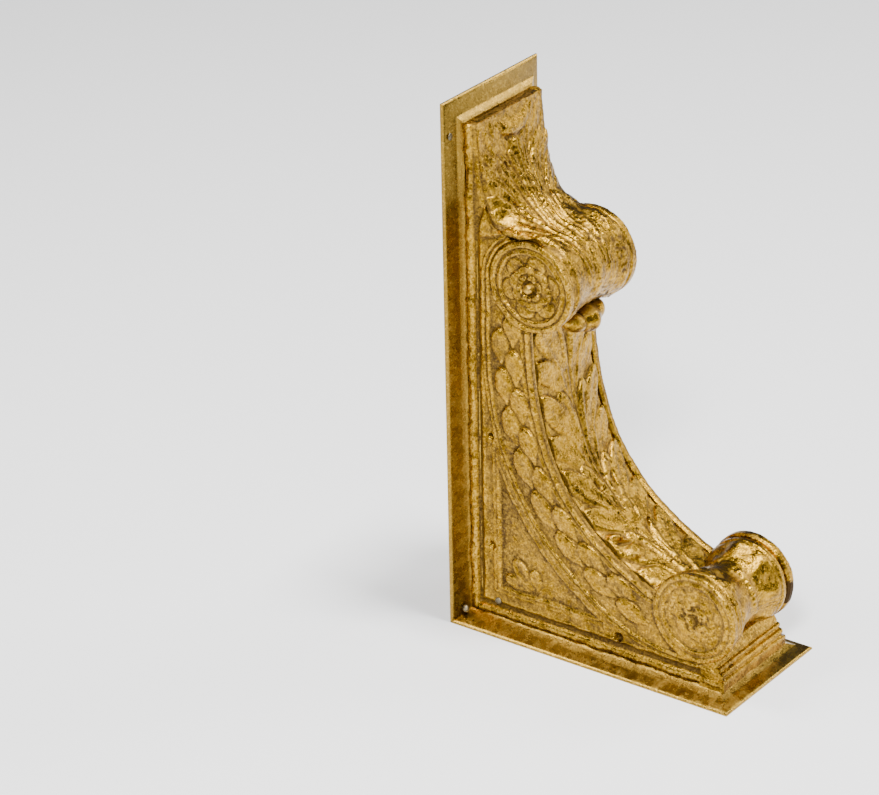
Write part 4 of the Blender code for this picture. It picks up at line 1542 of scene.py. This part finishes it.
        # bare flakes shine as metal, and grime and rust are dull
        dull = add_node(tree, "ShaderNodeMath", {0: dirt_and_shade, 1: pit}, operation="MAXIMUM").outputs[0]
        rough = add_node(tree, "ShaderNodeMapRange", {"Value": patch, "From Min": 0.35, "From Max": 0.68,
                                                      "To Min": self.roughness[0],
                                                      "To Max": self.roughness[1]}).outputs[0]
        rough = add_node(tree, "ShaderNodeMath", {0: dull, 1: 0.35, 2: rough}, operation="MULTIPLY_ADD",
                         use_clamp=True).outputs[0]
        metal = add_node(tree, "ShaderNodeMapRange", {"Value": dull, "To Min": 1.0,
                                                      "To Max": 0.0}).outputs[0]
        shine = add_node(tree, "ShaderNodeMapRange", {"Value": dull, "To Min": 0.5,
                                                      "To Max": 0.05}).outputs[0]
        lumps = add_node(tree, "ShaderNodeBump", {"Height": patch, "Strength": 0.6 * self.bump,
                                                  "Distance": 0.001}).outputs[0]
        flakes = add_node(tree, "ShaderNodeBump", {"Height": fine, "Strength": 0.8 * self.bump,
                                                   "Distance": 0.0005, "Normal": lumps}).outputs[0]
        holes = add_node(tree, "ShaderNodeBump", {"Height": pit, "Strength": 0.6, "Distance": 0.0006,
                                                  "Normal": flakes}, invert=True).outputs[0]
        shader = add_node(tree, "ShaderNodeBsdfPrincipled", {"Base Color": base, "Roughness": rough,
                                                             "Specular IOR Level": shine,
                                                             "Metallic": metal, "Normal": holes})
        add_node(tree, "ShaderNodeOutputMaterial", {"Surface": shader.outputs[0]})
        return material


@dataclass(frozen=True)
class StudioPaper:
    """Matt white background paper, rolled out under the object."""

    name: str = "matt_white_studio_paper"
    tone: str = "#EEEEEE"

    def make(self) -> bpy.types.Material:
        """Build the material.

        Returns:
            The material.
        """
        material = bpy.data.materials.new(self.name)
        material.use_nodes = True
        shader = material.node_tree.nodes["Principled BSDF"]
        shader.inputs["Base Color"].default_value = linear(self.tone)
        shader.inputs["Roughness"].default_value = 0.9
        return material


@dataclass
class Studio:
    """Pale floor, soft lights and the camera."""

    place: tuple = (-2.2935, -1.5221, 1.5674)
    azimuth: float = -53.338
    elevation: float = 26.18
    roll: float = -1.219
    lens: float = 161.4
    aim_at: tuple = (0.0, 0.0, 0.22)
    surround: float = 0.16
    # soft boxes: name, place and size in metres, power in watts
    boxes: tuple = (("key", (-1.8, -0.9, 2.1), 0.5, 110.0), ("side", (-2.0, 1.5, 0.8), 0.4, 5.0),
                    ("fill", (2.2, -1.1, 1.9), 0.8, 30.0), ("front", (2.3, -1.9, 0.8), 0.8, 25.0),
                    ("top", (0.1, -0.5, 2.7), 0.5, 125.0), ("back", (-0.5, 1.3, 2.2), 0.8, 36.0))

    def floor(self) -> bpy.types.Object:
        """Wide pale floor.

        Returns:
            The floor.
        """
        deselect()
        bpy.ops.mesh.primitive_grid_add(x_subdivisions=8, y_subdivisions=8, size=14.0)
        piece = bpy.context.object
        piece.name = "studio_floor"
        piece.data.materials.append(StudioPaper().make())
        return piece

    def lights(self) -> None:
        """Soft boxes and a pale surround."""
        world = bpy.data.worlds.new("pale_surround")
        bpy.context.scene.world = world
        world.use_nodes = True
        background = world.node_tree.nodes["Background"]
        background.inputs[0].default_value = linear("#FFFFFF")
        background.inputs[1].default_value = self.surround
        for name, place, size, power in self.boxes:
            light = bpy.data.lights.new(f"{name}_box", "AREA")
            light.shape = "SQUARE"
            light.size = size
            light.energy = power
            lamp = bpy.data.objects.new(f"{name}_box", light)
            lamp.matrix_world = self.aim(Vector(place), Vector(self.aim_at))
            bpy.context.scene.collection.objects.link(lamp)

    @staticmethod
    def aim(place: Vector, target: Vector) -> Matrix:
        """Turn something towards a target.

        Args:
            place: Where it is.
            target: What it looks at.

        Returns:
            Its matrix.
        """
        turn = (target - place).to_track_quat("-Z", "Y")
        return Matrix.Translation(place) @ turn.to_matrix().to_4x4()

    def camera(self) -> None:
        """Camera at the viewing angle of the photograph."""
        azimuth = math.radians(self.azimuth)
        elevation = math.radians(self.elevation)
        roll = math.radians(self.roll)
        back = Vector((math.sin(azimuth) * math.cos(elevation), -math.cos(azimuth) * math.cos(elevation),
                       math.sin(elevation)))
        right = Vector((math.cos(azimuth), math.sin(azimuth), 0.0))
        up = back.cross(right)
        level = right * math.cos(roll) + up * math.sin(roll)
        rise = up * math.cos(roll) - right * math.sin(roll)
        lens = bpy.data.cameras.new("photo_camera")
        lens.lens = self.lens
        lens.sensor_width = 36.0
        camera = bpy.data.objects.new("photo_camera", lens)
        turn = Matrix((level, rise, back)).transposed().to_4x4()
        camera.matrix_world = Matrix.Translation(Vector(self.place)) @ turn
        bpy.context.scene.collection.objects.link(camera)
        bpy.context.scene.camera = camera


def dress(piece: bpy.types.Object, finish: bpy.types.Material, angle: float = 80.0) -> None:
    """Smooth a piece, give it its finish, attach it to the root body and hide the imported casting.

    Args:
        piece: The piece.
        finish: Its material.
        angle: Degrees past which an edge stays sharp.
    """
    take_up(piece)
    bpy.ops.object.shade_smooth_by_angle(angle=math.radians(angle))
    piece.data.materials.clear()
    piece.data.materials.append(finish)
    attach(piece, "root")
    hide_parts("corbel_casting")
    LOG.info("%s: %d faces", piece.name, len(piece.data.polygons))


def main() -> None:
    """Build the corbel and the studio round it."""
    logging.basicConfig(level=logging.INFO, format="%(name)s %(message)s")
    layout = Layout()
    gold = RadiatorGold().make()
    plain = RadiatorGold(name="gold_radiator_paint_on_plate", light="#9A7A2C", deep="#7A5E20", pit_share=0.3,
                         bump=0.35, grime_and_shade_start=0.42, tones=(0.8, 1.6)).make()
    for plate in PlateFrame(layout).build():
        dress(plate, plain, 30.0)
    for flank in Flank:
        dress(FlankSide(layout, flank).build(), gold)
    dress(UpperLeaf(layout).build(), gold)
    strip = LeafStrip(layout)
    dress(strip.build(), gold)
    dress(strip.floor(), gold)
    dress(LowerSpool(layout).build(), gold)
    dress(FootBlock(layout).build(), gold)
    parts = SmallParts(layout)
    dress(parts.core(), plain, 30.0)
    dress(parts.ridge_top(), plain, 30.0)
    dress(parts.curl(), gold)
    filler = RadiatorGold(name="grey_filler_under_thin_paint", light="#8C846E", deep="#5A5240",
                          pit_share=0.2, roughness=(0.4, 0.6), bump=0.6).make()
    dress(parts.plug("filled_hole_flank", (-45.4, 35.2, 22.6), (1.6, 3.2, 3.0)), filler)
    dress(parts.plug("filled_hole_wall", (-57.0, 4.6, 422.0), (2.4, 1.0, 3.0)), filler)
    dress(parts.plug("filler_corner", (-53.5, 8.6, 11.0), (2.6, 3.0, 3.4)), filler)
    studio = Studio()
    studio.floor()
    studio.lights()
    studio.camera()


if __name__ == "__main__":
    main()
